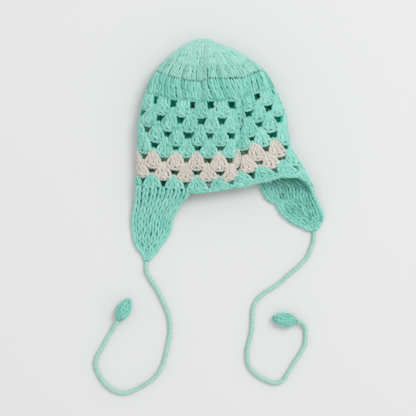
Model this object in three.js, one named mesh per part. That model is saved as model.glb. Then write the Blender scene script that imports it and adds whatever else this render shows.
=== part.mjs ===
// A baby's crocheted ear-flap cap, laid flat on its back with its cords on the same surface.
// Millimetres, +Z up, +Y towards the crown, z = 0 is the surface that it lies on.
import * as THREE from 'three';

// Driving sizes of the fabric.
const WALL = 4.6;
const JOINT_GAP = 0.3;
const COLUMNS = 14;
const LAST_DENSE_ROUND = 5;
const CLUSTER_ROWS = 7;
const RIM = 12;
const MIDDLE = WALL / 2;

// Cords and the buds on their ends.
const CORD_DIAMETER = 4.8;
const CORD_SIDES = 8;
const CORD_STEP = 10;
const CORD_CLEARANCE = 0.2;
const CORD_NECK = 5;
const BUD_LENGTH = 27;
const BUD_WIDTH = 16;
const BUD_THICKNESS = 12.6;
const BUD_SIDES = 12;

const COLOURS = { mint: 0x94cdbf, white: 0xcac5ba, bud: 0x8cc9b4 };

// One row for each round of the flattened tube, at v rounds from the centre of the crown.
// left, right: the folded ends. front: the lowest y of the front's left panel. back: y of the back's middle.
// fold, panel, under: heights of the folds, of the front's left panel and of the back.
// hump: extra height between crease and groove. step, rise: how far the rows jump up in y at each of them.
// dip: depth of the groove. lift: how far the front edge arches up near the right fold.
// turn: column at the left fold, across: columns on the front, tucked: length of fabric hidden in the groove.
const ROUNDS = [
  { v: 0, leftX: -24, leftY: 119.5, rightX: -24, rightY: 119.5, front: 119.5, back: 119.5, fold: 9, panel: 9,
    under: 9, hump: 0, step: 0, rise: 0, dip: 0, lift: 0, grooveX: -23, grooveWidth: 30, creaseWidth: 10,
    turn: -0.6, across: 7.8, tucked: 0 },
  { v: 0.5, leftX: -31.5, leftY: 119.2, rightX: -17.5, rightY: 117.3, front: 118, back: 117.2, fold: 10, panel: 17,
    under: 3.6, hump: 0.3, step: 0, rise: 0, dip: 0, lift: 0, grooveX: -20.5, grooveWidth: 30, creaseWidth: 10,
    turn: -0.6, across: 7.8, tucked: 0 },
  { v: 1, leftX: -38.3, leftY: 117.6, rightX: -11, rightY: 114.3, front: 113.5, back: 112, fold: 10.5, panel: 22,
    under: MIDDLE, hump: 1, step: 0, rise: 0, dip: 0, lift: 0, grooveX: -16, grooveWidth: 30, creaseWidth: 10,
    turn: -0.6, across: 7.8, tucked: 0 },
  { v: 2, leftX: -52, leftY: 109.3, rightX: 5, rightY: 108.2, front: 103, back: 98.5, fold: 11, panel: 29,
    under: MIDDLE, hump: 2.5, step: 0.5, rise: 1, dip: 0, lift: 0, grooveX: -2, grooveWidth: 30, creaseWidth: 10,
    turn: -0.6, across: 7.8, tucked: 0 },
  { v: 3, leftX: -65.5, leftY: 98.3, rightX: 21.3, rightY: 98.6, front: 87.5, back: 85, fold: 12, panel: 32,
    under: MIDDLE, hump: 4, step: 2.5, rise: 2, dip: 0, lift: 0, grooveX: 12, grooveWidth: 32, creaseWidth: 9,
    turn: -0.6, across: 7.8, tucked: 0 },
  { v: 4, leftX: -77.6, leftY: 84.7, rightX: 37.3, rightY: 85.7, front: 71.2, back: 72, fold: 12, panel: 33.5,
    under: MIDDLE, hump: 6, step: 3.4, rise: 3, dip: 0, lift: 0, grooveX: 16, grooveWidth: 30, creaseWidth: 8,
    turn: -0.6, across: 7.8, tucked: 0 },
  { v: 5, leftX: -88.5, leftY: 61.3, rightX: 49.2, rightY: 65.5, front: 50.2, back: 54, fold: 12, panel: 33,
    under: MIDDLE, hump: 7, step: 0.5, rise: 4.5, dip: 3, lift: 0, grooveX: 13, grooveWidth: 10, creaseWidth: 14,
    turn: -0.82, across: 8.1, tucked: 6 },
  { v: 7.2, leftX: -96.6, leftY: 24.8, rightX: 61.7, rightY: 34.4, front: 13.7, back: 25, fold: 11, panel: 28,
    under: MIDDLE, hump: 8, step: 0, rise: 7, dip: 4, lift: 0, grooveX: 10, grooveWidth: 8, creaseWidth: 45,
    turn: -0.5, across: 7.9, tucked: 8 },
  { v: 9.2, leftX: -97.7, leftY: -6.6, rightX: 66.3, rightY: 2.8, front: -12.1, back: -3, fold: 10, panel: 24,
    under: MIDDLE, hump: 6.5, step: 0, rise: 8, dip: 2.5, lift: 1, grooveX: 9, grooveWidth: 8.5, creaseWidth: 55,
    turn: -0.3, across: 7.55, tucked: 4 },
  { v: 10.2, leftX: -97.7, leftY: -19.8, rightX: 75.9, rightY: -10.5, front: -26.2, back: -16, fold: 10, panel: 22,
    under: MIDDLE, hump: 5, step: 0, rise: 7.5, dip: 3, lift: 3, grooveX: 9, grooveWidth: 12, creaseWidth: 55,
    turn: -0.22, across: 7.6, tucked: 1 },
  { v: 11.2, leftX: -98.5, leftY: -31.9, rightX: 82.4, rightY: -24, front: -37.3, back: -27, fold: 9.5, panel: 19.5,
    under: MIDDLE, hump: 2, step: 0, rise: 8.5, dip: 1, lift: 6, grooveX: 9, grooveWidth: 40, creaseWidth: 55,
    turn: -0.2, across: 7.8, tucked: 0 },
  { v: RIM, leftX: -99.8, leftY: -44.6, rightX: 91.3, rightY: -41.3, front: -48.2, back: -37, fold: 9, panel: 17,
    under: MIDDLE, hump: 0, step: 0, rise: 10, dip: 0, lift: 11, grooveX: 0, grooveWidth: 90, creaseWidth: 55,
    turn: -0.1, across: 7.8, tucked: 0 },
];

// Shape of the cross-section.
const CREASE_X = -25;
const FOLD_WIDTH = 10;
const FOLD_SHARE = 0.6;
const TOP_FULLNESS = 2.8;
const DIP_WIDTH = 4;
const LIFT_TO_HEIGHT = 0.8;
const LIFT_SKEW = 2.6;
const ROW_BEND = 4;
const FRONT_SAMPLES = 240;
const BACK_SAMPLES = 120;

// Half widths, in columns, and drops, in rounds, of the corners of a see-through gap.
const GAP_ABOVE_FIRST_ROW = 0.2;
const GAP_CORNERS = {
  top: { half: 0.19, drop: -0.17 },
  middle: { half: 0.21, drop: 0 },
  bottom: { half: 0.1, drop: 0.17 },
};
const STRAIGHT_HALF = 1 / 3;
const SEAM_SHIFT = 0.02;

// Steps in columns and rounds over which the slope of the fabric is taken.
const SLOPE_STEP = 0.08;

// The ear flaps: one row for each row of stitches, from the rim to the tip.
// left and right are the row's ends in the direction that the columns run, sag bows the row towards the tip.
const LEFT_FLAP = {
  from: -1 / 6, to: 2 + 1 / 6,
  rows: [
    { startX: -102.9, startY: -60.2, startZ: 6, endX: -52.5, endY: -61, endZ: 8, sag: 1.5, crown: 4 },
    { startX: -105.8, startY: -75.4, startZ: 3.5, endX: -60.7, endY: -75.4, endZ: 4.5, sag: 2, crown: 2 },
    { startX: -105.4, startY: -90.7, startZ: MIDDLE, endX: -64, endY: -90.7, endZ: MIDDLE, sag: 2.5, crown: 0.7 },
    { startX: -102.3, startY: -103.5, startZ: MIDDLE, endX: -72.6, endY: -104, endZ: MIDDLE, sag: 2, crown: 0.4 },
    { startX: -94.5, startY: -115, startZ: MIDDLE, endX: -81.5, endY: -115.5, endZ: MIDDLE, sag: 0.8, crown: 0 },
    { startX: -92, startY: -121.8, startZ: MIDDLE, endX: -87.4, endY: -122, endZ: MIDDLE, sag: 0, crown: 0 },
  ],
};
const RIGHT_FLAP = {
  from: 7 + 11 / 18, to: 9 + 11 / 18,
  rows: [
    { startX: 95.2, startY: -49.5, startZ: 9, endX: 42, endY: -51.7, endZ: MIDDLE, sag: 4, crown: -1.5 },
    { startX: 99, startY: -57.8, startZ: 7, endX: 51.7, endY: -57.2, endZ: MIDDLE, sag: 5, crown: -1 },
    { startX: 103.2, startY: -65.8, startZ: 5, endX: 58.1, endY: -68.5, endZ: MIDDLE, sag: 4, crown: -0.5 },
    { startX: 105, startY: -73.5, startZ: 3.5, endX: 67.4, endY: -76.7, endZ: MIDDLE, sag: 2.5, crown: 0 },
    { startX: 102.3, startY: -81.7, startZ: MIDDLE, endX: 79.2, endY: -83.7, endZ: MIDDLE, sag: 1, crown: 0 },
    { startX: 97.5, startY: -88.6, startZ: MIDDLE, endX: 92.9, endY: -88.9, endZ: MIDDLE, sag: 0, crown: 0 },
  ],
};
const FLAP_START = 0.04;
const FLAP_LINES = [
  { b: 0.5, segments: 9 }, { b: 1, segments: 9 }, { b: 2, segments: 8 }, { b: 3, segments: 7 },
  { b: 4, segments: 5 }, { b: 5, segments: 3 }, { b: 6, segments: 1 },
];

// Routes of the cords, x and y of hand-placed points from the flap's tip to the bud, and where the bud points.
const LEFT_ROUTE = { heading: [0.48, 0.88], points: [
  [-89.7, -122.6], [-90.4, -132.6], [-85.3, -143.6], [-78.1, -154.6], [-72.6, -165.6], [-67.7, -176.6],
  [-64.4, -187.6], [-63.8, -199.7], [-65.5, -211.8], [-68.2, -223.9], [-71, -234.9], [-76.5, -245.9],
  [-84.7, -254.7], [-97.9, -262.9], [-113.3, -268.6], [-126.5, -265.7], [-135.9, -258], [-142.5, -248.1],
  [-146.1, -237.1], [-144.1, -227.2], [-138.6, -218.4], [-133.1, -207.4], [-128.6, -200.4], [-121.4, -188.4],
] };
const RIGHT_ROUTE = { heading: [-0.988, 0.152], points: [
  [95.2, -89.5], [94.6, -99.6], [91.9, -108.4], [87.5, -118.3], [78.7, -128.2], [67.1, -138.1],
  [54.5, -149.1], [40.7, -157.9], [31.9, -165.6], [27.8, -175.5], [27, -187.6], [26.4, -198.6],
  [23.7, -210.7], [21.2, -222.8], [22.2, -236], [27.5, -244.8], [37.4, -252.1], [50.6, -257.6],
  [60, -255.2], [66.6, -245.9], [73.2, -234.9], [79.8, -225], [85, -215.1], [85.9, -206.3],
  [85.4, -198], [75.9, -189.3],
] };

// Blend from 0 to 1 over a width centred on a place.
function ramp(x, centre, width) {
  return THREE.MathUtils.smoothstep(x, centre - width / 2, centre + width / 2);
}

// Slope of a column of the table at one of its rows, chosen so that the curve doesn't overshoot.
function slopeAt(key, i) {
  const slope = (row) => (ROUNDS[row + 1][key] - ROUNDS[row][key]) / (ROUNDS[row + 1].v - ROUNDS[row].v);
  if (i === 0) return slope(0);
  if (i === ROUNDS.length - 1) return slope(i - 1);
  const before = slope(i - 1);
  const after = slope(i);
  return before * after <= 0 ? 0 : (2 * before * after) / (before + after);
}

// Value of a column of the table at v rounds.
function tableValue(key, v) {
  const last = ROUNDS.length - 1;
  let i = 0;
  while (i < last - 1 && v > ROUNDS[i + 1].v) i += 1;
  const [above, below] = [ROUNDS[i], ROUNDS[i + 1]];
  const width = below.v - above.v;
  const t = (v - above.v) / width;
  const finish = slopeAt(key, i + 1);
  if (t > 1) return below[key] + finish * (v - below.v);
  const blend = t * t * (3 - 2 * t);
  const ease = width * t * (1 - t);
  return above[key] * (1 - blend) + below[key] * blend + ease * (slopeAt(key, i) * (1 - t) - finish * t);
}

function roundAt(v) {
  const round = {};
  for (const key of Object.keys(ROUNDS[0])) round[key] = tableValue(key, v);
  round.centre = (round.leftX + round.rightX) / 2;
  round.half = (round.rightX - round.leftX) / 2;
  return round;
}

// The front layer: s runs from -1 at the left fold to 1 at the right fold.
function frontPoint(round, s) {
  const x = round.centre + round.half * s;
  const crease = ramp(x, CREASE_X, round.creaseWidth);
  const groove = ramp(x, round.grooveX, round.grooveWidth);
  const steps = round.step * crease + round.rise * groove;
  const leftPart = THREE.MathUtils.clamp((x - round.leftX) / (round.grooveX - round.leftX), 0, 1);
  const rightPart = THREE.MathUtils.clamp((x - round.grooveX) / (round.rightX - round.grooveX), 0, 1);
  const arch = Math.sin(Math.PI * rightPart ** LIFT_SKEW) * round.lift;
  const leftRow = THREE.MathUtils.lerp(round.leftY, round.front, 1 - (1 - leftPart) ** ROW_BEND);
  const rightGain = round.rightY - round.front - round.step - round.rise;
  const y = leftRow + rightGain * rightPart + steps + arch;
  const full = Math.sqrt(Math.max(0, 1 - Math.abs(s) ** TOP_FULLNESS));
  const valley = Math.exp(-(((x - round.grooveX - DIP_WIDTH / 2) / DIP_WIDTH) ** 2));
  const bump = (round.hump * (crease - groove) - round.dip * valley) * Math.min(1, full * 1.5);
  const z = round.fold + (round.panel - round.fold) * full + bump + arch * LIFT_TO_HEIGHT;
  return new THREE.Vector3(x, y, z);
}

// The back layer lies flat on the surface between two rounded folds.
function backPoint(round, s) {
  const x = round.centre + round.half * s;
  const foldWidth = Math.min(FOLD_WIDTH, FOLD_SHARE * round.half);
  const inwards = Math.min(1, (round.half * (1 - Math.abs(s))) / Math.max(foldWidth, 1e-6));
  const drop = Math.sqrt(Math.max(0, 1 - (1 - inwards) ** 2));
  const ends = THREE.MathUtils.lerp(round.leftY, round.rightY, (s + 1) / 2);
  const sag = round.back - (round.leftY + round.rightY) / 2;
  return new THREE.Vector3(x, ends + sag * (1 - s * s), round.fold + (round.under - round.fold) * drop);
}

const loops = new Map();

// The closed loop of one round: points from the left fold over the front, and the column that each lies on.
function loopAt(v) {
  const key = v.toFixed(6);
  if (loops.has(key)) return loops.get(key);
  const round = roundAt(v);
  const points = [];
  for (let i = 0; i < FRONT_SAMPLES; i += 1) {
    points.push(frontPoint(round, -Math.cos((Math.PI * i) / FRONT_SAMPLES)));
  }
  for (let i = 0; i <= BACK_SAMPLES; i += 1) {
    points.push(backPoint(round, Math.cos((Math.PI * i) / BACK_SAMPLES)));
  }
  const along = [0];
  for (let i = 1; i < points.length; i += 1) {
    const [here, before] = [points[i], points[i - 1]].map(({ x }) => ramp(x, round.grooveX, round.grooveWidth));
    const hidden = i <= FRONT_SAMPLES ? round.tucked * (here - before) : 0;
    along.push(along[i - 1] + points[i].distanceTo(points[i - 1]) + hidden);
  }
  const front = along[FRONT_SAMPLES];
  const whole = along[along.length - 1];
  const columns = along.map((distance, i) => (i <= FRONT_SAMPLES
    ? (distance / front) * round.across
    : round.across + ((distance - front) / (whole - front)) * (COLUMNS - round.across)));
  const loop = { points, columns, turn: round.turn };
  loops.set(key, loop);
  return loop;
}

// Middle of the fabric at column u of round v.
function fabricPoint(u, v) {
  const { points, columns, turn } = loopAt(v);
  if (points[0].distanceTo(points[FRONT_SAMPLES]) < 1e-6) return points[0].clone();
  const column = THREE.MathUtils.euclideanModulo(u - turn, COLUMNS);
  let low = 0;
  let high = columns.length - 1;
  while (high - low > 1) {
    const mid = (low + high) >> 1;
    if (columns[mid] > column) high = mid;
    else low = mid;
  }
  const t = (column - columns[low]) / Math.max(columns[high] - columns[low], 1e-9);
  return points[low].clone().lerp(points[high], t);
}

// A piece of fabric: triangles in two surface directions, given a thickness on both sides.
class Sheet {
  constructor(surface, period) {
    this.surface = surface;
    this.period = period;
    this.places = [];
    this.faces = [];
    this.known = new Map();
  }

  place([a, b]) {
    const wrapped = this.period ? THREE.MathUtils.euclideanModulo(a + 1e-7, this.period) : a;
    const key = `${wrapped.toFixed(4)} ${b.toFixed(4)}`;
    if (!this.known.has(key)) {
      this.known.set(key, this.places.length);
      this.places.push([a, b]);
    }
    return this.known.get(key);
  }

  face(p, q, r) {
    const area = (q[0] - p[0]) * (r[1] - p[1]) - (r[0] - p[0]) * (q[1] - p[1]);
    const corners = [p, q, r].map((corner) => this.place(corner));
    if (area > 0) corners.reverse();
    this.faces.push(corners);
  }

  // Triangles between two lines of places that may differ in number.
  strip(upper, lower) {
    let i = 0;
    let j = 0;
    while (i < upper.length - 1 || j < lower.length - 1) {
      const nextUpper = (i + 1) / (upper.length - 1);
      const nextLower = (j + 1) / (lower.length - 1);
      const upperFirst = i < upper.length - 1 && (j === lower.length - 1 || nextUpper <= nextLower);
      if (upperFirst) this.face(upper[i], upper[i += 1], lower[j]);
      else this.face(upper[i], lower[j], lower[j += 1]);
    }
  }

  geometry() {
    const positions = [];
    for (const place of this.places) {
      const { middle, normal } = this.surface(place);
      for (const side of [1, -1]) {
        positions.push(...middle.clone().addScaledVector(normal, side * MIDDLE).toArray());
      }
    }
    const directed = new Set(this.faces.flatMap(([a, b, c]) => [`${a} ${b}`, `${b} ${c}`, `${c} ${a}`]));
    const indices = [];
    for (const [a, b, c] of this.faces) {
      indices.push(2 * a, 2 * b, 2 * c, 2 * c + 1, 2 * b + 1, 2 * a + 1);
      for (const [from, to] of [[a, b], [b, c], [c, a]]) {
        if (directed.has(`${to} ${from}`)) continue;
        // Both sides of a seam split their edge faces along the same diagonal.
        if (this.places[to][0] > this.places[from][0]) {
          indices.push(2 * to, 2 * from, 2 * from + 1, 2 * to, 2 * from + 1, 2 * to + 1);
        } else {
          indices.push(2 * to, 2 * from, 2 * to + 1, 2 * from, 2 * from + 1, 2 * to + 1);
        }
      }
    }
    const geometry = new THREE.BufferGeometry();
    geometry.setAttribute('position', new THREE.Float32BufferAttribute(positions, 3));
    geometry.setIndex(indices);
    return geometry;
  }
}

// Middle and outward normal of any surface given as a function of two directions.
function withNormal(point, a, b, stepA, stepB) {
  const acrossA = point(a + stepA, b).sub(point(a - stepA, b));
  const acrossB = point(a, b + stepB).sub(point(a, Math.max(0, b - stepB)));
  return { middle: point(a, b), normal: acrossB.cross(acrossA).normalize() };
}

function capSurface([u, v]) {
  if (v === 0) return { middle: fabricPoint(0, 0), normal: new THREE.Vector3(0, 1, 0) };
  return withNormal(fabricPoint, u, v, SLOPE_STEP, Math.min(SLOPE_STEP, v / 2));
}

function line(from, to, segments) {
  return Array.from({ length: segments + 1 }, (_, i) => [
    THREE.MathUtils.lerp(from[0], to[0], i / segments),
    THREE.MathUtils.lerp(from[1], to[1], i / segments),
  ]);
}

// A whole round of places, starting beside the first gap so that all rounds match.
function ring(v, count) {
  const start = 1 / 6;
  return line([start, v], [start + COLUMNS, v], count);
}

// The straight edge between dense fabric and clusters: four places to a column, set by the gaps' corners.
function clusterEdge(v) {
  const places = [];
  for (let column = 0; column < COLUMNS; column += 1) {
    places.push(...line([column + 0.5 - STRAIGHT_HALF, v], [column + 0.5 + STRAIGHT_HALF, v], 3));
  }
  places.push([COLUMNS + 0.5 - STRAIGHT_HALF, v]);
  return places;
}

function crownGeometry(edge) {
  const sheet = new Sheet(capSurface, COLUMNS);
  const rings = [ring(0.5, COLUMNS), ring(1, 2 * COLUMNS), ring(1.5, 2 * COLUMNS)];
  for (const v of [2, 2.5, 3, 3.5, edge]) rings.push(ring(v, 3 * COLUMNS));
  const pole = sheet.place([0, 0]);
  for (let i = 0; i < rings[0].length - 1; i += 1) {
    sheet.faces.push([pole, sheet.place(rings[0][i]), sheet.place(rings[0][i + 1])]);
  }
  for (let i = 0; i < rings.length - 1; i += 1) sheet.strip(rings[i], rings[i + 1]);
  return sheet.geometry();
}

function crownRoundGeometry(from, to) {
  const sheet = new Sheet(capSurface, COLUMNS);
  sheet.strip(ring(from, 3 * COLUMNS), clusterEdge(to));
  return sheet.geometry();
}

// Name of the piece that a cluster belongs to.
function pieceOf(row, centre) {
  if (row <= 4) return 'openwork';
  if (row >= 7) return 'rim_band';
  const turned = THREE.MathUtils.euclideanModulo(centre, COLUMNS);
  return (row === 5 && turned === 7.5) || (row === 6 && turned === 7) ? 'seam_clusters' : 'white_band';
}

// Corner of the see-through gap of a row, on its left (-1) or right (1) side.
function gapCorner(row, centre, side, part) {
  const corner = GAP_CORNERS[part];
  const middle = LAST_DENSE_ROUND + GAP_ABOVE_FIRST_ROW + row - 1;
  const isFirstTop = row === 1 && part === 'top';
  const half = isFirstTop ? 0.5 - STRAIGHT_HALF : corner.half;
  const v = isFirstTop ? LAST_DENSE_ROUND + SEAM_SHIFT : middle + corner.drop;
  return [centre + side * half, v];
}

// The lines of places that make one cluster, from the gap above it to the gap below it.
function clusterLines(row, centre) {
  const own = pieceOf(row, centre);
  const seam = (rowAway, side) => (pieceOf(row + rowAway, centre + side / 2) === own ? 0 : SEAM_SHIFT);
  const moved = ([u, v], rowAway, side) => [u, v - rowAway * seam(rowAway, side)];
  const halfway = (p, q) => [(p[0] + q[0]) / 2, (p[1] + q[1]) / 2];
  const ends = (rowAway, atRow, away, part) => [-1, 1].map((side) => {
    const corner = gapCorner(atRow, centre + (away * side) / 2, side * (away ? -1 : 1), part);
    return rowAway ? moved(corner, rowAway, side) : corner;
  });
  const apex = ends(-1, row - 1, 0, 'bottom');
  const shoulders = ends(-1, row, 1, 'top');
  const waist = ends(0, row, 1, 'middle');
  const hips = ends(row < CLUSTER_ROWS ? 1 : 0, row, 1, 'bottom');
  const foot = ends(1, row + 1, 0, 'top');
  const straight = (v) => line([centre - STRAIGHT_HALF, v], [centre + STRAIGHT_HALF, v], 3);
  const lines = [];
  if (row > 1) {
    lines.push(line(...apex, 1), line(halfway(apex[0], shoulders[0]), halfway(apex[1], shoulders[1]), 2));
    lines.push(line(...shoulders, 3));
  } else {
    lines.push(straight(LAST_DENSE_ROUND + SEAM_SHIFT));
  }
  lines.push(line(...waist, 3), line(...hips, 3));
  if (row < CLUSTER_ROWS) {
    lines.push(line(halfway(hips[0], foot[0]), halfway(hips[1], foot[1]), 3), line(...foot, 2));
  } else {
    lines.push(straight(RIM - SEAM_SHIFT));
  }
  return lines;
}

function clusterSheets() {
  const sheets = {};
  const sheetFor = (name) => (sheets[name] ??= new Sheet(capSurface, COLUMNS));
  for (let row = 1; row <= CLUSTER_ROWS; row += 1) {
    for (let column = 0; column < COLUMNS; column += 1) {
      const centre = column + (row % 2) / 2;
      const lines = clusterLines(row, centre);
      const sheet = sheetFor(pieceOf(row, centre));
      for (let i = 0; i < lines.length - 1; i += 1) sheet.strip(lines[i], lines[i + 1]);
    }
  }
  // Below the last gaps the edging closes the rim.
  const half = 0.5 - STRAIGHT_HALF;
  const edge = RIM - SEAM_SHIFT;
  for (let column = 0; column < COLUMNS; column += 1) {
    const above = [-1, 1].map((side) => gapCorner(CLUSTER_ROWS, column, side, 'bottom'));
    sheetFor('rim_band').strip(above, line([column - half, edge], [column + half, edge], 1));
  }
  return sheets;
}

// Place on one stitch row of a flap; row 0 is the rim itself and row -1 the fabric above it.
function flapRowPoint(flap, row, a) {
  if (row <= 0) return fabricPoint(THREE.MathUtils.lerp(flap.from, flap.to, a), RIM + row);
  const at = flap.rows[Math.min(row, flap.rows.length) - 1];
  const bow = 4 * a * (1 - a);
  return new THREE.Vector3(
    THREE.MathUtils.lerp(at.startX, at.endX, a),
    THREE.MathUtils.lerp(at.startY, at.endY, a) - at.sag * bow,
    THREE.MathUtils.lerp(at.startZ, at.endZ, a) + at.crown * bow,
  );
}

// Smooth curve through the rows of a flap at a share a of its width, b rows below the rim.
function flapPoint(flap, a, b) {
  const row = Math.min(Math.floor(b), flap.rows.length - 1);
  const t = b - row;
  const [p, q, r, s] = [-1, 0, 1, 2].map((k) => flapRowPoint(flap, row + k, a));
  const point = new THREE.Vector3();
  point.addScaledVector(p, (-t + 2 * t * t - t ** 3) / 2);
  point.addScaledVector(q, (2 - 5 * t * t + 3 * t ** 3) / 2);
  point.addScaledVector(r, (t + 4 * t * t - 3 * t ** 3) / 2);
  point.addScaledVector(s, (t ** 3 - t * t) / 2);
  point.z = Math.max(point.z, MIDDLE);
  return point;
}

function flapGeometry(flap) {
  const surface = ([a, b]) => withNormal((x, y) => flapPoint(flap, x, y), a, b, SLOPE_STEP / 8, SLOPE_STEP);
  const sheet = new Sheet(surface, 0);
  const rim = [-COLUMNS, 0].flatMap((turned) => clusterEdge(FLAP_START).map(([u]) => u + turned));
  const shares = rim.map((u) => (u - flap.from) / (flap.to - flap.from));
  const lines = [shares.filter((a) => a > -1e-6 && a < 1 + 1e-6).map((a) => [a, FLAP_START])];
  for (const { b, segments } of FLAP_LINES) lines.push(line([0, b], [1, b], segments));
  for (let i = 0; i < lines.length - 1; i += 1) sheet.strip(lines[i], lines[i + 1]);
  return sheet.geometry();
}

// A cord on the surface, rising at its far end to run straight into the middle of its bud.
function cordGeometry({ points: route, heading }) {
  const radius = CORD_DIAMETER / 2;
  const lying = route.slice(0, -1).map(([x, y]) => new THREE.Vector3(x, y, radius + CORD_CLEARANCE));
  const end = new THREE.Vector3(...route[route.length - 1], BUD_THICKNESS / 2);
  const neck = end.clone().addScaledVector(new THREE.Vector3(...heading, 0).normalize(), -CORD_NECK);
  const path = new THREE.CatmullRomCurve3([...lying, neck, end], false, 'centripetal');
  const section = new THREE.Shape();
  for (let i = 0; i < CORD_SIDES; i += 1) {
    const angle = (2 * Math.PI * i) / CORD_SIDES;
    section[i ? 'lineTo' : 'moveTo'](radius * Math.cos(angle), radius * Math.sin(angle));
  }
  const steps = Math.round(path.getLength() / CORD_STEP);
  return new THREE.ExtrudeGeometry(section, { steps, extrudePath: path });
}

// A bud lies with its base at the cord's end: round in the belly, drawn to a point at the tip.
function budGeometry() {
  const shares = [[0, 0], [0.32, 0], [0.72, 0.12], [1, 0.34], [0.93, 0.52], [0.66, 0.74], [0.3, 0.92], [0, 1]];
  const size = new THREE.Vector2(BUD_WIDTH / 2, BUD_LENGTH);
  const profile = shares.map(([radius, along]) => new THREE.Vector2(radius, along).multiply(size));
  const geometry = new THREE.LatheGeometry(profile, BUD_SIDES);
  geometry.scale(1, 1, BUD_THICKNESS / BUD_WIDTH);
  return geometry;
}

function placedBud(name, route) {
  const bud = mesh(name, budGeometry(), COLOURS.bud);
  const heading = new THREE.Vector2(...route.heading).normalize();
  const [endX, endY] = route.points[route.points.length - 1];
  bud.position.set(endX + heading.x * JOINT_GAP, endY + heading.y * JOINT_GAP, BUD_THICKNESS / 2);
  bud.rotation.z = Math.atan2(heading.y, heading.x) - Math.PI / 2;
  return bud;
}

function mesh(name, geometry, colour) {
  const material = new THREE.MeshStandardMaterial({ color: colour, roughness: 0.95, metalness: 0 });
  const piece = new THREE.Mesh(geometry, material);
  piece.name = name;
  return piece;
}

const cap = new THREE.Group();
const sheets = clusterSheets();
cap.add(mesh('crown', crownGeometry(4 - SEAM_SHIFT), COLOURS.mint));
cap.add(mesh('crown_round', crownRoundGeometry(4 + SEAM_SHIFT, LAST_DENSE_ROUND - SEAM_SHIFT), COLOURS.mint));
cap.add(mesh('openwork', sheets.openwork.geometry(), COLOURS.mint));
cap.add(mesh('white_band', sheets.white_band.geometry(), COLOURS.white));
cap.add(mesh('seam_clusters', sheets.seam_clusters.geometry(), COLOURS.mint));
cap.add(mesh('rim_band', sheets.rim_band.geometry(), COLOURS.mint));
cap.add(mesh('ear_flap_left', flapGeometry(LEFT_FLAP), COLOURS.mint));
cap.add(mesh('ear_flap_right', flapGeometry(RIGHT_FLAP), COLOURS.mint));
cap.add(mesh('tie_left', cordGeometry(LEFT_ROUTE), COLOURS.mint));
cap.add(mesh('tie_right', cordGeometry(RIGHT_ROUTE), COLOURS.mint));
cap.add(placedBud('bud_left', LEFT_ROUTE));
cap.add(placedBud('bud_right', RIGHT_ROUTE));

export default cap;
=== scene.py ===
"""A baby's crocheted ear-flap cap, laid flat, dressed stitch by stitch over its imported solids."""

import math
from collections import namedtuple

import bpy
import numpy as np
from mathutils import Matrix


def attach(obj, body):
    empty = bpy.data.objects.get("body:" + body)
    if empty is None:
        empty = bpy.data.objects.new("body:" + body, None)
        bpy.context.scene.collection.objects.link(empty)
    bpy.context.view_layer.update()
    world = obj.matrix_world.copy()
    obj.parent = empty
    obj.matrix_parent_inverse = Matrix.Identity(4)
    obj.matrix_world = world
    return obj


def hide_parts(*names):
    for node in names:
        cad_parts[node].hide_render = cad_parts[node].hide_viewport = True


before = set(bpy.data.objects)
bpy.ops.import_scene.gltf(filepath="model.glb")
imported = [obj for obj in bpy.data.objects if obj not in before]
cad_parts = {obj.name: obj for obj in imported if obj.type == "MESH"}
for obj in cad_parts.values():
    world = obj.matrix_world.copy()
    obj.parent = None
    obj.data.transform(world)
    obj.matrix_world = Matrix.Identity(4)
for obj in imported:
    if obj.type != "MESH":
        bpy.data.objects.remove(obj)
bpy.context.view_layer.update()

bl_info = {
    "name": "Crocheted ear-flap cap",
    "version": (1, 0, 0),
    "blender": (4, 5, 0),
    "location": "3D View > Sidebar > Cap",
    "description": "Crochets a baby's cap from tubes of yarn over its solids",
    "category": "Add Mesh",
}

# Everything is worked out in millimetres and turned into metres where a mesh is made.
MM = 0.001

# The fabric: 14 columns of three-stitch clusters in 7 rounds below 5 dense rounds.
COLUMNS = 14
LAST_DENSE_ROUND = 5
CLUSTER_ROWS = 7
RIM = 12
WALL = 4.6
MIDDLE = WALL / 2

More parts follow.
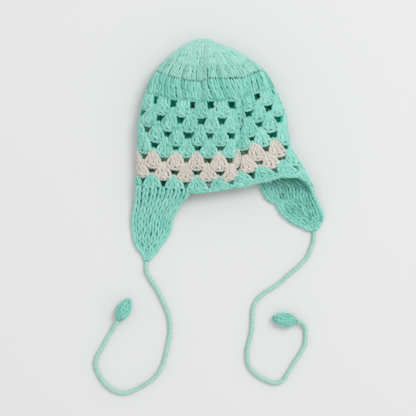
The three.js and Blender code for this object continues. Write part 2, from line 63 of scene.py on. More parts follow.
# One row for each round of the flattened tube, at v rounds from the centre of the crown: its folded ends,
# the lowest y of the front's left panel, y of the back's middle, the heights of folds, panel and back, the
# hump between crease and groove, the jumps in y at both, the depth of the groove, the arch at the right,
# the places and widths of groove and crease, the column at the left fold, the columns on the front and
# the length of fabric hidden in the groove.
ROUND_COLUMNS = (
    "v", "left_x", "left_y", "right_x", "right_y", "front", "back", "fold", "panel", "under", "hump",
    "step", "rise", "dip", "lift", "groove_x", "groove_width", "crease_width", "turn", "across", "tucked",
)
ROUNDS = (
    (0, -24, 119.5, -24, 119.5, 119.5, 119.5, 9, 9, 9, 0, 0, 0, 0, 0, -23, 30, 10, -0.6, 7.8, 0),
    (0.5, -31.5, 119.2, -17.5, 117.3, 118, 117.2, 10, 17, 3.6, 0.3, 0, 0, 0, 0, -20.5, 30, 10, -0.6, 7.8, 0),
    (1, -38.3, 117.6, -11, 114.3, 113.5, 112, 10.5, 22, MIDDLE, 1, 0, 0, 0, 0, -16, 30, 10, -0.6, 7.8, 0),
    (2, -52, 109.3, 5, 108.2, 103, 98.5, 11, 29, MIDDLE, 2.5, 0.5, 1, 0, 0, -2, 30, 10, -0.6, 7.8, 0),
    (3, -65.5, 98.3, 21.3, 98.6, 87.5, 85, 12, 32, MIDDLE, 4, 2.5, 2, 0, 0, 12, 32, 9, -0.6, 7.8, 0),
    (4, -77.6, 84.7, 37.3, 85.7, 71.2, 72, 12, 33.5, MIDDLE, 6, 3.4, 3, 0, 0, 16, 30, 8, -0.6, 7.8, 0),
    (5, -88.5, 61.3, 49.2, 65.5, 50.2, 54, 12, 33, MIDDLE, 7, 0.5, 4.5, 3, 0, 13, 10, 14, -0.82, 8.1, 6),
    (7.2, -96.6, 24.8, 61.7, 34.4, 13.7, 25, 11, 28, MIDDLE, 8, 0, 7, 4, 0, 10, 8, 45, -0.5, 7.9, 8),
    (9.2, -97.7, -6.6, 66.3, 2.8, -12.1, -3, 10, 24, MIDDLE, 6.5, 0, 8, 2.5, 1, 9, 8.5, 55, -0.3, 7.55, 4),
    (10.2, -97.7, -19.8, 75.9, -10.5, -26.2, -16, 10, 22, MIDDLE, 5, 0, 7.5, 3, 3, 9, 12, 55, -0.22, 7.6, 1),
    (11.2, -98.5, -31.9, 82.4, -24, -37.3, -27, 9.5, 19.5, MIDDLE, 2, 0, 8.5, 1, 6, 9, 40, 55, -0.2, 7.8, 0),
    (12, -99.8, -44.6, 91.3, -41.3, -48.2, -37, 9, 17, MIDDLE, 0, 0, 10, 0, 11, 0, 90, 55, -0.1, 7.8, 0),
)

# Shape of the cross-section, as in the solids.
CREASE_X = -25
FOLD_WIDTH = 10
FOLD_SHARE = 0.6
TOP_FULLNESS = 2.8
DIP_WIDTH = 4
BUMP_FADE = 1.5
LIFT_TO_HEIGHT = 0.8
LIFT_SKEW = 2.6
ROW_BEND = 4
FRONT_SAMPLES = 240
BACK_SAMPLES = 120

# Lengths below these count as a point, or as nothing where something is divided by them.
POINT_SIZE = 1e-6
NEARLY_ZERO = 1e-9

# Half widths, in columns, and drops, in rounds, of the corners of a see-through gap.
GAP_ABOVE_FIRST_ROW = 0.2
GAP_TOP, GAP_MIDDLE, GAP_BOTTOM = (0.19, -0.17), (0.21, 0.0), (0.1, 0.17)

# The ear flaps: where each starts and ends along the rim, in columns of the cap, and the two ends of each
# of its rows from the rim to the tip, with how far the row bows down towards the tip and how far it bows up
# from the surface. The fabric of a flap starts above the rim, by a share of the last round.
FLAP_COLUMNS = ("start_x", "start_y", "start_z", "end_x", "end_y", "end_z", "sag", "crown")
LEFT_FLAP_RANGE = (-1 / 6, 2 + 1 / 6)
LEFT_FLAP_ROWS = (
    (-102.9, -60.2, 6, -52.5, -61, 8, 1.5, 4),
    (-105.8, -75.4, 3.5, -60.7, -75.4, 4.5, 2, 2),
    (-105.4, -90.7, MIDDLE, -64, -90.7, MIDDLE, 2.5, 0.7),
    (-102.3, -103.5, MIDDLE, -72.6, -104, MIDDLE, 2, 0.4),
    (-94.5, -115, MIDDLE, -81.5, -115.5, MIDDLE, 0.8, 0),
    (-92, -121.8, MIDDLE, -87.4, -122, MIDDLE, 0, 0),
)
FLAP_OVERLAP = 0.45
RIGHT_FLAP_RANGE = (7 + 11 / 18, 9 + 11 / 18)
RIGHT_FLAP_ROWS = (
    (95.2, -49.5, 9, 42, -51.7, MIDDLE, 4, -1.5),
    (99, -57.8, 7, 51.7, -57.2, MIDDLE, 5, -1),
    (103.2, -65.8, 5, 58.1, -68.5, MIDDLE, 4, -0.5),
    (105, -73.5, 3.5, 67.4, -76.7, MIDDLE, 2.5, 0),
    (102.3, -81.7, MIDDLE, 79.2, -83.7, MIDDLE, 1, 0),
    (97.5, -88.6, MIDDLE, 92.9, -88.9, MIDDLE, 0, 0),
)

# The cords: the route over the surface from a flap's tip to a bud, and where the bud points.
CORD_DIAMETER = 4.8
CORD_CLEARANCE = 0.2
CORD_NECK = 5
JOINT_GAP = 0.3
BUD_LENGTH = 27
BUD_WIDTH = 16
BUD_THICKNESS = 12.6
LEFT_HEADING = (0.48, 0.88)
LEFT_ROUTE = (
    (-89.7, -122.6), (-90.4, -132.6), (-85.3, -143.6), (-78.1, -154.6), (-72.6, -165.6), (-67.7, -176.6),
    (-64.4, -187.6), (-63.8, -199.7), (-65.5, -211.8), (-68.2, -223.9), (-71, -234.9), (-76.5, -245.9),
    (-84.7, -254.7), (-97.9, -262.9), (-113.3, -268.6), (-126.5, -265.7), (-135.9, -258), (-142.5, -248.1),
    (-146.1, -237.1), (-144.1, -227.2), (-138.6, -218.4), (-133.1, -207.4), (-128.6, -200.4),
    (-121.4, -188.4),
)
RIGHT_HEADING = (-0.988, 0.152)
RIGHT_ROUTE = (
    (95.2, -89.5), (94.6, -99.6), (91.9, -108.4), (87.5, -118.3), (78.7, -128.2), (67.1, -138.1),
    (54.5, -149.1), (40.7, -157.9), (31.9, -165.6), (27.8, -175.5), (27, -187.6), (26.4, -198.6),
    (23.7, -210.7), (21.2, -222.8), (22.2, -236), (27.5, -244.8), (37.4, -252.1), (50.6, -257.6),
    (60, -255.2), (66.6, -245.9), (73.2, -234.9), (79.8, -225), (85, -215.1), (85.9, -206.3),
    (85.4, -198), (75.9, -189.3),
)


class CapYarn(bpy.types.PropertyGroup):
    """Sizes of the yarn and of its stitches."""

    reach: bpy.props.FloatProperty(
        name="Fabric reach", description="Height of a stitch's strands off the middle of the fabric",
        default=1.05 * MM, unit="LENGTH")
    ply_pitch: bpy.props.FloatProperty(
        name="Ply pitch", description="Length over which the plies turn once", default=7 * MM, unit="LENGTH")
    plies: bpy.props.IntProperty(name="Plies", description="Threads twisted into the yarn", default=3)
    seed: bpy.props.IntProperty(
        name="Hand", description="Seed of the small differences between stitches", default=7)


class CapColours(bpy.types.PropertyGroup):
    """Colours of the yarns, of the painted shade deep between and behind their stitches, and of the floor."""

    mint: bpy.props.FloatVectorProperty(
        name="Mint", description="Colour of the mint yarn", default=(0.43, 0.80, 0.71),
        subtype="COLOR", size=3)
    mint_deep: bpy.props.FloatVectorProperty(
        name="Deep mint", description="Colour between the mint yarn's fibres", default=(0.12, 0.52, 0.41),
        subtype="COLOR", size=3)
    # Painted shade: the saturated green of the shade deep between the mint stitches and inside the cap, which
    # also tints their painted glow.
    mint_pit_shade: bpy.props.FloatVectorProperty(
        name="Mint pits", description="Colour deep between the mint stitches", default=(0.02, 0.60, 0.42),
        subtype="COLOR", size=3)
    crown: bpy.props.FloatVectorProperty(
        name="Crown", description="Colour of the mint yarn in the paler crown", default=(0.50, 0.81, 0.73),
        subtype="COLOR", size=3)
    crown_deep: bpy.props.FloatVectorProperty(
        name="Deep crown", description="Colour between the crown's fibres", default=(0.20, 0.55, 0.45),
        subtype="COLOR", size=3)
    white: bpy.props.FloatVectorProperty(
        name="Off-white", description="Colour of the off-white yarn", default=(0.75, 0.71, 0.65),
        subtype="COLOR", size=3)
    white_deep: bpy.props.FloatVectorProperty(
        name="Deep off-white", description="Colour between the off-white yarn's fibres",
        default=(0.60, 0.565, 0.50), subtype="COLOR", size=3)
    # Painted shade: the green-tinged shade deep between the off-white stitches and inside the cap, which also
    # tints their painted glow.
    white_pit_shade: bpy.props.FloatVectorProperty(
        name="Off-white pits", description="Colour deep between the off-white stitches",
        default=(0.41, 0.59, 0.43), subtype="COLOR", size=3)
    cord: bpy.props.FloatVectorProperty(
        name="Cord", description="Colour of the cords, a little greyer", default=(0.54, 0.80, 0.71),
        subtype="COLOR", size=3)
    cord_deep: bpy.props.FloatVectorProperty(
        name="Deep cord", description="Colour between the cords' fibres", default=(0.20, 0.48, 0.39),
        subtype="COLOR", size=3)
    floor: bpy.props.FloatVectorProperty(
        name="Floor", description="Colour of the floor", default=(0.745, 0.75, 0.75), subtype="COLOR", size=3)


class CapStudio(bpy.types.PropertyGroup):
    """Camera and lights."""

    camera_height: bpy.props.FloatProperty(
        name="Camera height", description="Height of the camera above the floor", default=1.5, unit="LENGTH")
    view_centre: bpy.props.FloatVectorProperty(
        name="View centre", description="Point of the floor in the middle of the view",
        default=(-0.022, -0.06435), subtype="XYZ", size=2)
    view_width: bpy.props.FloatProperty(
        name="View width", description="Width of the view near the floor", default=0.4576, unit="LENGTH")
    sky: bpy.props.FloatProperty(
        name="Sky", description="Strength of the light from all sides", default=0.78)
    lamp_power: bpy.props.FloatProperty(
        name="Lamp", description="Power of the large lamp above", default=46.0, unit="POWER")
    lamp_size: bpy.props.FloatProperty(
        name="Lamp size", description="Width of the lamp's disk", default=1.8, unit="LENGTH")
    lamp_place: bpy.props.FloatVectorProperty(
        name="Lamp place", description="Where the lamp hangs, aimed at the origin", default=(1.6, 1.3, 2.7),
        subtype="XYZ", size=3)


# Surfaces of the fabric.

def smooth_ramp(x, centre, width):
    """Blend from 0 to 1 over a width centred on a place."""
    t = np.clip((x - centre + width / 2) / width, 0, 1)
    return t * t * (3 - 2 * t)


def slope_at(places, values, i):
    """Slope of a table's column at one of its rows, chosen so that the curve doesn't overshoot."""
    slopes = np.diff(values) / np.diff(places)
    if i == 0:
        return slopes[0]
    if i == len(places) - 1:
        return slopes[-1]
    before, after = slopes[i - 1], slopes[i]
    return 0.0 if before * after <= 0 else 2 * before * after / (before + after)


def table_value(places, values, v):
    """Value of a column of the rounds' table at v rounds."""
    i = int(np.clip(np.searchsorted(places, v, side="left") - 1, 0, len(places) - 2))
    width = places[i + 1] - places[i]
    t = (v - places[i]) / width
    finish = slope_at(places, values, i + 1)
    if t > 1:
        return values[i + 1] + finish * (v - places[i + 1])
    blend = t * t * (3 - 2 * t)
    ease = width * t * (1 - t)
    start = slope_at(places, values, i)
    return values[i] * (1 - blend) + values[i + 1] * blend + ease * (start * (1 - t) - finish * t)


def round_at(v):
    """All columns of the rounds' table at v rounds."""
    table = np.array(ROUNDS, dtype=float)
    row = {name: table_value(table[:, 0], table[:, i], v) for i, name in enumerate(ROUND_COLUMNS)}
    row["centre"] = (row["left_x"] + row["right_x"]) / 2
    row["half"] = (row["right_x"] - row["left_x"]) / 2
    return row


def front_points(row, s):
    """The front layer: s runs from -1 at the left fold to 1 at the right fold."""
    x = row["centre"] + row["half"] * s
    crease = smooth_ramp(x, CREASE_X, row["crease_width"])
    groove = smooth_ramp(x, row["groove_x"], row["groove_width"])
    left_part = np.clip((x - row["left_x"]) / (row["groove_x"] - row["left_x"]), 0, 1)
    right_part = np.clip((x - row["groove_x"]) / (row["right_x"] - row["groove_x"]), 0, 1)
    arch = np.sin(math.pi * right_part ** LIFT_SKEW) * row["lift"]
    left_row = row["left_y"] + (row["front"] - row["left_y"]) * (1 - (1 - left_part) ** ROW_BEND)
    right_gain = row["right_y"] - row["front"] - row["step"] - row["rise"]
    y = left_row + right_gain * right_part + row["step"] * crease + row["rise"] * groove + arch
    full = np.sqrt(np.maximum(0, 1 - np.abs(s) ** TOP_FULLNESS))
    valley = np.exp(-(((x - row["groove_x"] - DIP_WIDTH / 2) / DIP_WIDTH) ** 2))
    bump = (row["hump"] * (crease - groove) - row["dip"] * valley) * np.minimum(1, full * BUMP_FADE)
    z = row["fold"] + (row["panel"] - row["fold"]) * full + bump + arch * LIFT_TO_HEIGHT
    return np.stack([x, y, z], axis=-1)


def back_points(row, s):
    """The back layer lies flat on the surface between two rounded folds."""
    x = row["centre"] + row["half"] * s
    fold_width = max(min(FOLD_WIDTH, FOLD_SHARE * row["half"]), POINT_SIZE)
    inwards = np.minimum(1, row["half"] * (1 - np.abs(s)) / fold_width)
    drop = np.sqrt(np.maximum(0, 1 - (1 - inwards) ** 2))
    ends = row["left_y"] + (row["right_y"] - row["left_y"]) * (s + 1) / 2
    sag = row["back"] - (row["left_y"] + row["right_y"]) / 2
    return np.stack([x, ends + sag * (1 - s * s), row["fold"] + (row["under"] - row["fold"]) * drop], axis=-1)


def loop_at(v, columns):
    """Points of one round of the tube at the given columns."""
    row = round_at(v)
    if row["half"] < POINT_SIZE:
        return np.tile([row["centre"], row["left_y"], row["fold"]], (len(columns), 1))
    front = front_points(row, -np.cos(math.pi * np.arange(FRONT_SAMPLES) / FRONT_SAMPLES))
    back = back_points(row, np.cos(math.pi * np.arange(BACK_SAMPLES + 1) / BACK_SAMPLES))
    points = np.concatenate([front, back])
    steps = np.linalg.norm(np.diff(points, axis=0), axis=1)
    hidden = np.diff(smooth_ramp(points[:, 0], row["groove_x"], row["groove_width"])) * row["tucked"]
    hidden[FRONT_SAMPLES:] = 0
    along = np.concatenate([[0], np.cumsum(steps + hidden)])
    front_length, whole = along[FRONT_SAMPLES], along[-1]
    on_front = np.arange(len(along)) <= FRONT_SAMPLES
    places = np.where(
        on_front,
        along / front_length * row["across"],
        row["across"] + (along - front_length) / (whole - front_length) * (COLUMNS - row["across"]))
    wanted = np.mod(columns - row["turn"], COLUMNS)
    return np.stack([np.interp(wanted, places, points[:, k]) for k in range(3)], axis=-1)


def unit(vectors):
    """Vectors scaled to a length of 1."""
    return vectors / np.maximum(np.linalg.norm(vectors, axis=-1, keepdims=True), NEARLY_ZERO)


class Fabric:
    """A surface kept as a grid of points and outward normals, for looking up any place on it."""

    def __init__(self, points, first, step, wraps, reach):
        self.points, self.first, self.step, self.wraps = points, np.array(first), np.array(step), wraps
        across = self.slope(points, 1, reach[1])
        down = self.slope(points, 0, reach[0])
        self.normals = unit(np.cross(down, across))

    def slope(self, grid, axis, reach):
        """Difference over a few cells both ways, cut short at the edges."""
        count = grid.shape[axis]
        places = np.arange(count)
        if axis == 1 and self.wraps:
            ahead, behind = (places + reach) % (count - 1), (places - reach) % (count - 1)
        else:
            ahead, behind = np.minimum(places + reach, count - 1), np.maximum(places - reach, 0)
        return np.take(grid, ahead, axis=axis) - np.take(grid, behind, axis=axis)

    def at(self, u, v):
        """Points and normals at columns u and rounds v, two arrays of one shape."""
        u, v = np.broadcast_arrays(np.asarray(u, dtype=float), np.asarray(v, dtype=float))
        row = (v - self.first[0]) / self.step[0]
        column = (u - self.first[1]) / self.step[1]
        if self.wraps:
            column = np.mod(column, self.points.shape[1] - 1)
        row = np.clip(row, 0, self.points.shape[0] - 1 - POINT_SIZE)
        column = np.clip(column, 0, self.points.shape[1] - 1 - POINT_SIZE)
        i, j = row.astype(int), column.astype(int)
        s, t = (row - i)[..., None], (column - j)[..., None]
        found = []
        for grid in (self.points, self.normals):
            upper = grid[i, j] * (1 - t) + grid[i, j + 1] * t
            lower = grid[i + 1, j] * (1 - t) + grid[i + 1, j + 1] * t
            found.append(upper * (1 - s) + lower * s)
        return found


# Steps of the cap's grid in columns and rounds, how far it goes on below the rim, and the cells to both
# sides over which its slopes are taken.
CAP_STEPS = (0.025, 0.04)
BELOW_RIM = 0.3
SLOPE_CELLS = (2, 3)


def cap_fabric():
    """The whole tube from the crown's centre to just below the rim."""
    u_step, v_step = CAP_STEPS
    columns = np.arange(0, COLUMNS + u_step / 2, u_step)
    rounds = np.arange(0, RIM + BELOW_RIM, v_step)
    points = np.stack([loop_at(v, columns) for v in rounds])
    fabric = Fabric(points, (0, 0), (v_step, u_step), True, SLOPE_CELLS)
    fabric.normals[0] = (0, 1, 0)
    return fabric


def flap_row_points(cap, ends, rows, row, a):
    """One stitch row of a flap; row 0 is the rim itself and row -1 the fabric above it."""
    if row <= 0:
        return cap.at(ends[0] + (ends[1] - ends[0]) * a, np.full_like(a, RIM + row))[0]
    at = dict(zip(FLAP_COLUMNS, rows[min(row, len(rows)) - 1]))
    bow = 4 * a * (1 - a)
    return np.stack([
        at["start_x"] + (at["end_x"] - at["start_x"]) * a,
        at["start_y"] + (at["end_y"] - at["start_y"]) * a - at["sag"] * bow,
        at["start_z"] + (at["end_z"] - at["start_z"]) * a + at["crown"] * bow,
    ], axis=-1)


# Cells across a flap, the step of its grid in rows, and the cells over which its slopes are taken.
FLAP_GRID = 60
FLAP_ROW_STEP = 0.05
FLAP_SLOPE_CELLS = (2, 2)


def flap_fabric(cap, ends, rows):
    """A flap: shares 0 to 1 of its width against rows below the rim, as a smooth curve through its rows."""
    shares = np.linspace(0, 1, FLAP_GRID + 1)
    lines = []
    for b in np.arange(-FLAP_OVERLAP, len(rows) + FLAP_ROW_STEP / 2, FLAP_ROW_STEP):
        row = min(max(int(b + NEARLY_ZERO), 0), len(rows) - 1)
        t = b - row
        before, near, far, after = (
            flap_row_points(cap, ends, rows, row + k, shares) for k in (-1, 0, 1, 2))
        line = (before * (-t + 2 * t * t - t ** 3) + near * (2 - 5 * t * t + 3 * t ** 3)
                + far * (t + 4 * t * t - 3 * t ** 3) + after * (t ** 3 - t * t)) / 2
        line[:, 2] = np.maximum(line[:, 2], MIDDLE)
        lines.append(line)
    steps = (FLAP_ROW_STEP, 1 / FLAP_GRID)
    return Fabric(np.stack(lines), (-FLAP_OVERLAP, 0), steps, False, FLAP_SLOPE_CELLS)


# Yarn. Every tube keeps a small distance from the surface on which the cap lies.

SURFACE_CLEARANCE = 0.05


class Skein:
    """Collects tubes of yarn and sheets behind them, and makes them one mesh."""

    def __init__(self):
        self.points, self.quads, self.caps, self.quad_uvs, self.tones = [], [], [], [], []
        self.count = 0

    def add_tubes(self, paths, normals, radius, sides, tones, relief=1.0):
        """Tubes along paths of one length each, (tubes, rings, 3), with a side turned to the normals.

        The relief scales the radius at every point, (tubes, rings, sides).
        """
        tubes, rings = paths.shape[:2]
        radius = np.broadcast_to(np.asarray(radius, dtype=float), (tubes, rings))
        paths = paths.copy()
        paths[..., 2] = np.maximum(paths[..., 2], radius + SURFACE_CLEARANCE)
        tangents = unit(np.gradient(paths, axis=1))
        across = unit(np.cross(tangents, normals))
        up = np.cross(across, tangents)
        angles = 2 * math.pi * np.arange(sides) / sides
        ring = across[:, :, None] * np.cos(angles)[:, None] + up[:, :, None] * np.sin(angles)[:, None]
        out = np.broadcast_to(radius[:, :, None] * relief, (tubes, rings, sides))
        self.points.append((paths[:, :, None] + ring * out[..., None]).reshape(-1, 3))
        lengths = np.linalg.norm(np.diff(paths, axis=1), axis=-1)
        along = np.concatenate([np.zeros((tubes, 1)), np.cumsum(lengths, axis=1)], axis=1)
        first = self.count + (np.arange(tubes) * rings * sides)[:, None, None]
        here = first + (np.arange(rings - 1) * sides)[None, :, None]
        side = np.arange(sides)[None, None, :]
        after = (side + 1) % sides
        quads = np.stack([here + side, here + after, here + sides + after, here + sides + side], axis=-1)
        self.quads.append(quads.reshape(-1, 4))
        low = np.broadcast_to(along[:, :-1, None], (tubes, rings - 1, sides))
        high = np.broadcast_to(along[:, 1:, None], (tubes, rings - 1, sides))
        left = np.broadcast_to(side / sides, low.shape)
        right = left + 1 / sides
        corners = ((low, left), (low, right), (high, right), (high, left))
        uvs = np.stack([np.stack(corner, axis=-1) for corner in corners], axis=-2)
        self.quad_uvs.append(uvs.reshape(-1, 2))
        starts = (first[:, 0] + np.arange(sides)[::-1][None]).reshape(tubes, sides)
        ends = (first[:, 0] + (rings - 1) * sides + np.arange(sides)[None]).reshape(tubes, sides)
        self.caps.extend(np.concatenate([starts, ends]).tolist())
        self.tones.append(np.repeat(np.broadcast_to(tones, tubes), rings * sides))
        self.count += tubes * rings * sides

    def add_sheet(self, fabric, cells, grid, inner_tone):
        """A thin closed sheet in the middle of the fabric over whole cells (i, j) of a grid, coloured as
        painted shade: the hollows' tone outside and the given tone inside.
        """
        places_taken, faces = {}, []
        taken = {tuple(cell) for cell in cells}
        columns = round(COLUMNS / grid.across)

        def wrapped(i, j):
            """The same place with its column counted round the tube."""
            return (i % columns if fabric.wraps else i, j)

        def corner(i, j, side):
            """Number of a corner point on one side of the sheet."""
            return places_taken.setdefault((*wrapped(i, j), side), len(places_taken))

        for i, j in taken:
            ring = [(i, j), (i, j + 1), (i + 1, j + 1), (i + 1, j)]
            faces.append([corner(*place, 1) for place in ring])
            faces.append([corner(*place, -1) for place in reversed(ring)])
            for k, neighbour in enumerate(((i - 1, j), (i, j + 1), (i + 1, j), (i, j - 1))):
                if wrapped(*neighbour) not in taken:
                    a, b = ring[k], ring[(k + 1) % 4]
                    faces.append([corner(*b, 1), corner(*a, 1), corner(*a, -1), corner(*b, -1)])
        keys = np.array(list(places_taken), dtype=float)
        points, normals = fabric.at(keys[:, 0] * grid.across, keys[:, 1] * grid.down)
        self.points.append(points + normals * (keys[:, 2:3] * grid.half))
        self.quads.append(np.array(faces) + self.count)
        self.quad_uvs.append(np.zeros((len(faces) * 4, 2)))
        # Painted shade: the sheet's outer side takes the dark tone of the hollows and its inner side the
        # given tone.
        self.tones.append(np.where(keys[:, 2] > 0, HOLLOW_SHADE, inner_tone))
        self.count += len(places_taken)

    def build(self, name, material):
        """The finished object."""
        mesh = bpy.data.meshes.new(name)
        points = np.concatenate(self.points) * MM
        quads = np.concatenate(self.quads)
        cap_sizes = [len(cap) for cap in self.caps]
        loops = np.concatenate([quads.reshape(-1)] + [np.array(cap) for cap in self.caps]).astype(np.int32)
        sizes = np.array([4] * len(quads) + cap_sizes)
        mesh.vertices.add(len(points))
        mesh.vertices.foreach_set("co", points.reshape(-1))
        mesh.loops.add(len(loops))
        mesh.loops.foreach_set("vertex_index", loops)
        mesh.polygons.add(len(sizes))
        starts = np.concatenate([[0], np.cumsum(sizes)[:-1]]).astype(np.int32)
        mesh.polygons.foreach_set("loop_start", starts)
        mesh.polygons.foreach_set("use_smooth", np.ones(len(sizes), dtype=bool))
        uv_layer = mesh.uv_layers.new(name="Yarn")
        uvs = np.zeros((len(loops), 2))
        quad_uvs = np.concatenate(self.quad_uvs)
        uvs[:len(quad_uvs)] = quad_uvs * (MM, 1)
        uv_layer.uv.foreach_set("vector", uvs.reshape(-1))
        tone = mesh.attributes.new("tone", "FLOAT", "POINT")
        tone.data.foreach_set("value", np.concatenate(self.tones))
        mesh.update(calc_edges=True)
        mesh.validate()
        mesh.materials.append(material)
        piece = bpy.data.objects.new(name, mesh)
        bpy.context.scene.collection.objects.link(piece)
        return piece


# Stitches. Their sizes are in millimetres or in shares of the half width that a stitch takes up. Places
# along a strand run from 0 to 1, and a strand's thickness is given from its middle to its surface.

POST_RINGS = 12
PLAIN_RINGS = 7
WRAP_RINGS = 7
RINGS_PER_LOOP = 5
YARN_SIDES = 8
PLAIN_SIDES = 6

# Tones of yarn run from 0, dark, to 1, pale; the darkest lies a little below 0, where a touch of painted
# shade comes in. Below them is painted shade: the hollows between the stitches, seen from outside, and the
# strands and deepest places inside the cap, seen through the gaps, take painted shaded colours with a painted
# glow.
DARKEST, HOLLOW_SHADE, INSIDE_SHADE, BEHIND_SHADE = -0.03, -0.15, -0.5, -1.0

# How far stitches stray from their pattern, as standard deviations: places in columns and rounds, tones,
# distances in millimetres, and thickness, slant and the places of wraps as shares.
STRAY = {
    "post place": 0.014, "post tone": 0.14, "pinch place": 0.05, "lean": 0.25, "leg height": 0.16,
    "leg thickness": 0.05, "wrap place": 0.035, "wrap slant": 0.08, "inner tone": 0.1,
    "vee place": 0.02, "vee tone": 0.1, "vee across": 0.16, "vee height": 0.14, "vee thickness": 0.06,
    "chain tone": 0.12, "cluster column": 0.025, "cluster drop": 0.03,
    "bud tone": 0.14, "bud across": 0.1, "bud height": 0.1,
}

# The same for the tones of single strands: in all stitches, more where a post stands out, and in chains.
STRAND_TONES, RELIEF_TONES, CHAIN_TONES = 0.12, 0.1, 0.1

# How posts are worked: their tone, how thin their ends get, how far their wraps stand out, and how far
# their legs stray sideways.
PostStyle = namedtuple("PostStyle", "tone taper relief jitter", defaults=(0.5, 0.28, 1.0, 0.16))

# A post's legs: their thickness and its limits, how far they stay back from the edge as a share of it,
# their least distance from the middle, how much and how widely the first wrap pinches them, the part at
# each end that tapers, and their height as a share of the yarn's reach.
LEG_THICKNESS, LEG_LIMITS = 0.545, (0.95, 1.78)
LEG_INSET, LEG_NEAREST = 0.92, 0.35
PINCH, PINCH_WIDTH = 0.34, 0.13
LEG_END = 0.16
LEG_HEIGHT = 0.9

# Where a post's wraps lie: the middle and length of each as shares of the post, and its slant. Then their
# thickness and its limits, the share of it left at their ends, the height of their ends, and how much more
# than the yarn's reach the middle of a wrap that stands out fully rises above them.
WRAPS = ((0.44, 0.34, 1.0), (0.84, 0.3, 0.9))
WRAP_THICKNESS, WRAP_LIMITS, WRAP_ENDS = 0.42, (0.85, 1.25), 0.7
WRAP_HEIGHT, WRAP_RELIEF = 0.5, 0.85

# V-shaped stitches: thickness and its limits, how far apart the arms start and how much they part. Then
# the share of thickness left at the ends, the height of the arms' arch, how far their ends sink, how far
# the arch leans towards the opening, and its shape.
VeeShape = namedtuple("VeeShape", "thickness limits foot opening")
FLAP_VEE = VeeShape(0.49, (0.85, 1.75), 0.25, 0.44)
BUD_VEE = VeeShape(0.6, (0.4, 1.25), 0.36, 0.26)
VEE_ENDS = 0.74
VEE_LIFT, VEE_SINK, VEE_SKEW = 1.5, 0.4, 1.3
ARCH_POWER = 0.8

# Chains of top loops: the radius of their strands by place.
CHAIN_RADIUS = {"round": 1.15, "cluster": 1.25, "rim": 1.35, "flap": 1.5}


def yarn_reach():
    """Height of a stitch's strands off the middle of the fabric, in millimetres."""
    return bpy.context.scene.cap_yarn.reach / MM


def stray(rng, kind, shape, middle=0.0):
    """Random differences of a named kind around a middle value."""
    return rng.normal(middle, STRAY[kind], shape)


def swell(t, ends):
    """Thickness along a strand: 1 in its middle and a share of that at its ends."""
    return ends + (1 - ends) * np.sin(np.pi * t)


def arch(t, power=ARCH_POWER):
    """Height along a strand that rises and comes down again."""
    return np.sin(np.pi * t) ** power


def strand_paths(fabric, u, v, across, height):
    """Paths along places of a fabric, moved sideways and off its middle, with the fabric's normals."""
    points, normals = fabric.at(u, v)
    sideways = unit(np.cross(normals, np.gradient(points, axis=1)))
    return points + sideways * across[..., None] + normals * height[..., None], normals


def width_at(fabric, u, v, share):
    """Millimetres across a share of a column."""
    left, _ = fabric.at(u - share / 2, v)
    right, _ = fabric.at(u + share / 2, v)
    return np.linalg.norm(right - left, axis=-1)


def yarn_tones(tones, spread, rng):
    """Tones of single strands around those of their stitches."""
    return np.clip(tones + rng.normal(0, spread, np.shape(tones)), DARKEST, 1)


def inner_tones(v, rng):
    """Tones of strands on the inside of the cap: painted shade, but for those close to the rim, which are lit
    directly.
    """
    return np.where(v > RIM - 1, DARKEST, INSIDE_SHADE) + stray(rng, "inner tone", len(v))


def between(base, top, t):
    """Columns and rounds along stitches from base to top places (k, 2)."""
    return base[:, :1] * (1 - t) + top[:, :1] * t, base[:, 1:] * (1 - t) + top[:, 1:] * t


def add_posts(skein, fabric, base, top, half_base, half_top, rng, style=PostStyle()):
    """Double crochets from base to top places (k, 2): two legs and the wraps that lie over them."""
    reach = yarn_reach()
    each = (len(base), 1)
    base = base + stray(rng, "post place", base.shape)
    top = top + stray(rng, "post place", top.shape)
    shade = stray(rng, "post tone", len(base), style.tone)
    spread = STRAND_TONES + RELIEF_TONES * style.relief

    def half_at(t):
        """Half the width that the posts take up along their length."""
        return half_base[:, None] * (1 - t) + half_top[:, None] * t

    for face in (1, -1):
        outside = face == 1
        t = np.linspace(0, 1, POST_RINGS if outside else PLAIN_RINGS)
        pinch_at = WRAPS[0][0] + stray(rng, "pinch place", each)
        pinch = 1 - PINCH * np.exp(-(((t - pinch_at) / PINCH_WIDTH) ** 2))
        to_end = np.clip(np.minimum(t, 1 - t) / LEG_END, 0, 1)
        thinner = style.taper * (1 - np.sin(np.pi / 2 * to_end))
        half = half_at(t)
        thick = np.clip(LEG_THICKNESS * half, *LEG_LIMITS)
        lean = stray(rng, "lean", each) * np.sin(2 * np.pi * t)
        for side in (-1, 1):
            across = side * np.maximum(half - thick * LEG_INSET, LEG_NEAREST) * pinch + lean
            across = across + rng.normal(0, style.jitter, each)
            height = face * (reach * (LEG_HEIGHT - 2 * thinner) + stray(rng, "leg height", each))
            paths, normals = strand_paths(fabric, *between(base, top, t), across, height)
            radius = thick * (1 - thinner) * stray(rng, "leg thickness", each, 1)
            tones = yarn_tones(shade, spread, rng) if outside else inner_tones(top[:, 1], rng)
            skein.add_tubes(paths, normals, radius, YARN_SIDES if outside else PLAIN_SIDES, tones)
        if not outside:
            continue
        s = np.linspace(0, 1, WRAP_RINGS)
        for middle, length, slant in WRAPS:
            wrap_at = middle + stray(rng, "wrap place", each) + length * (s - 0.5)
            half = half_at(wrap_at)
            across = slant * half * (1 + stray(rng, "wrap slant", each)) * (2 * s - 1)
            height = (WRAP_HEIGHT + (reach + WRAP_RELIEF * style.relief) * arch(s)) * np.ones(each)
            paths, normals = strand_paths(fabric, *between(base, top, wrap_at), across, height)
            thick = np.clip(WRAP_THICKNESS * half, *WRAP_LIMITS) * swell(s, WRAP_ENDS)
            skein.add_tubes(paths, normals, thick, YARN_SIDES, yarn_tones(shade, spread, rng))


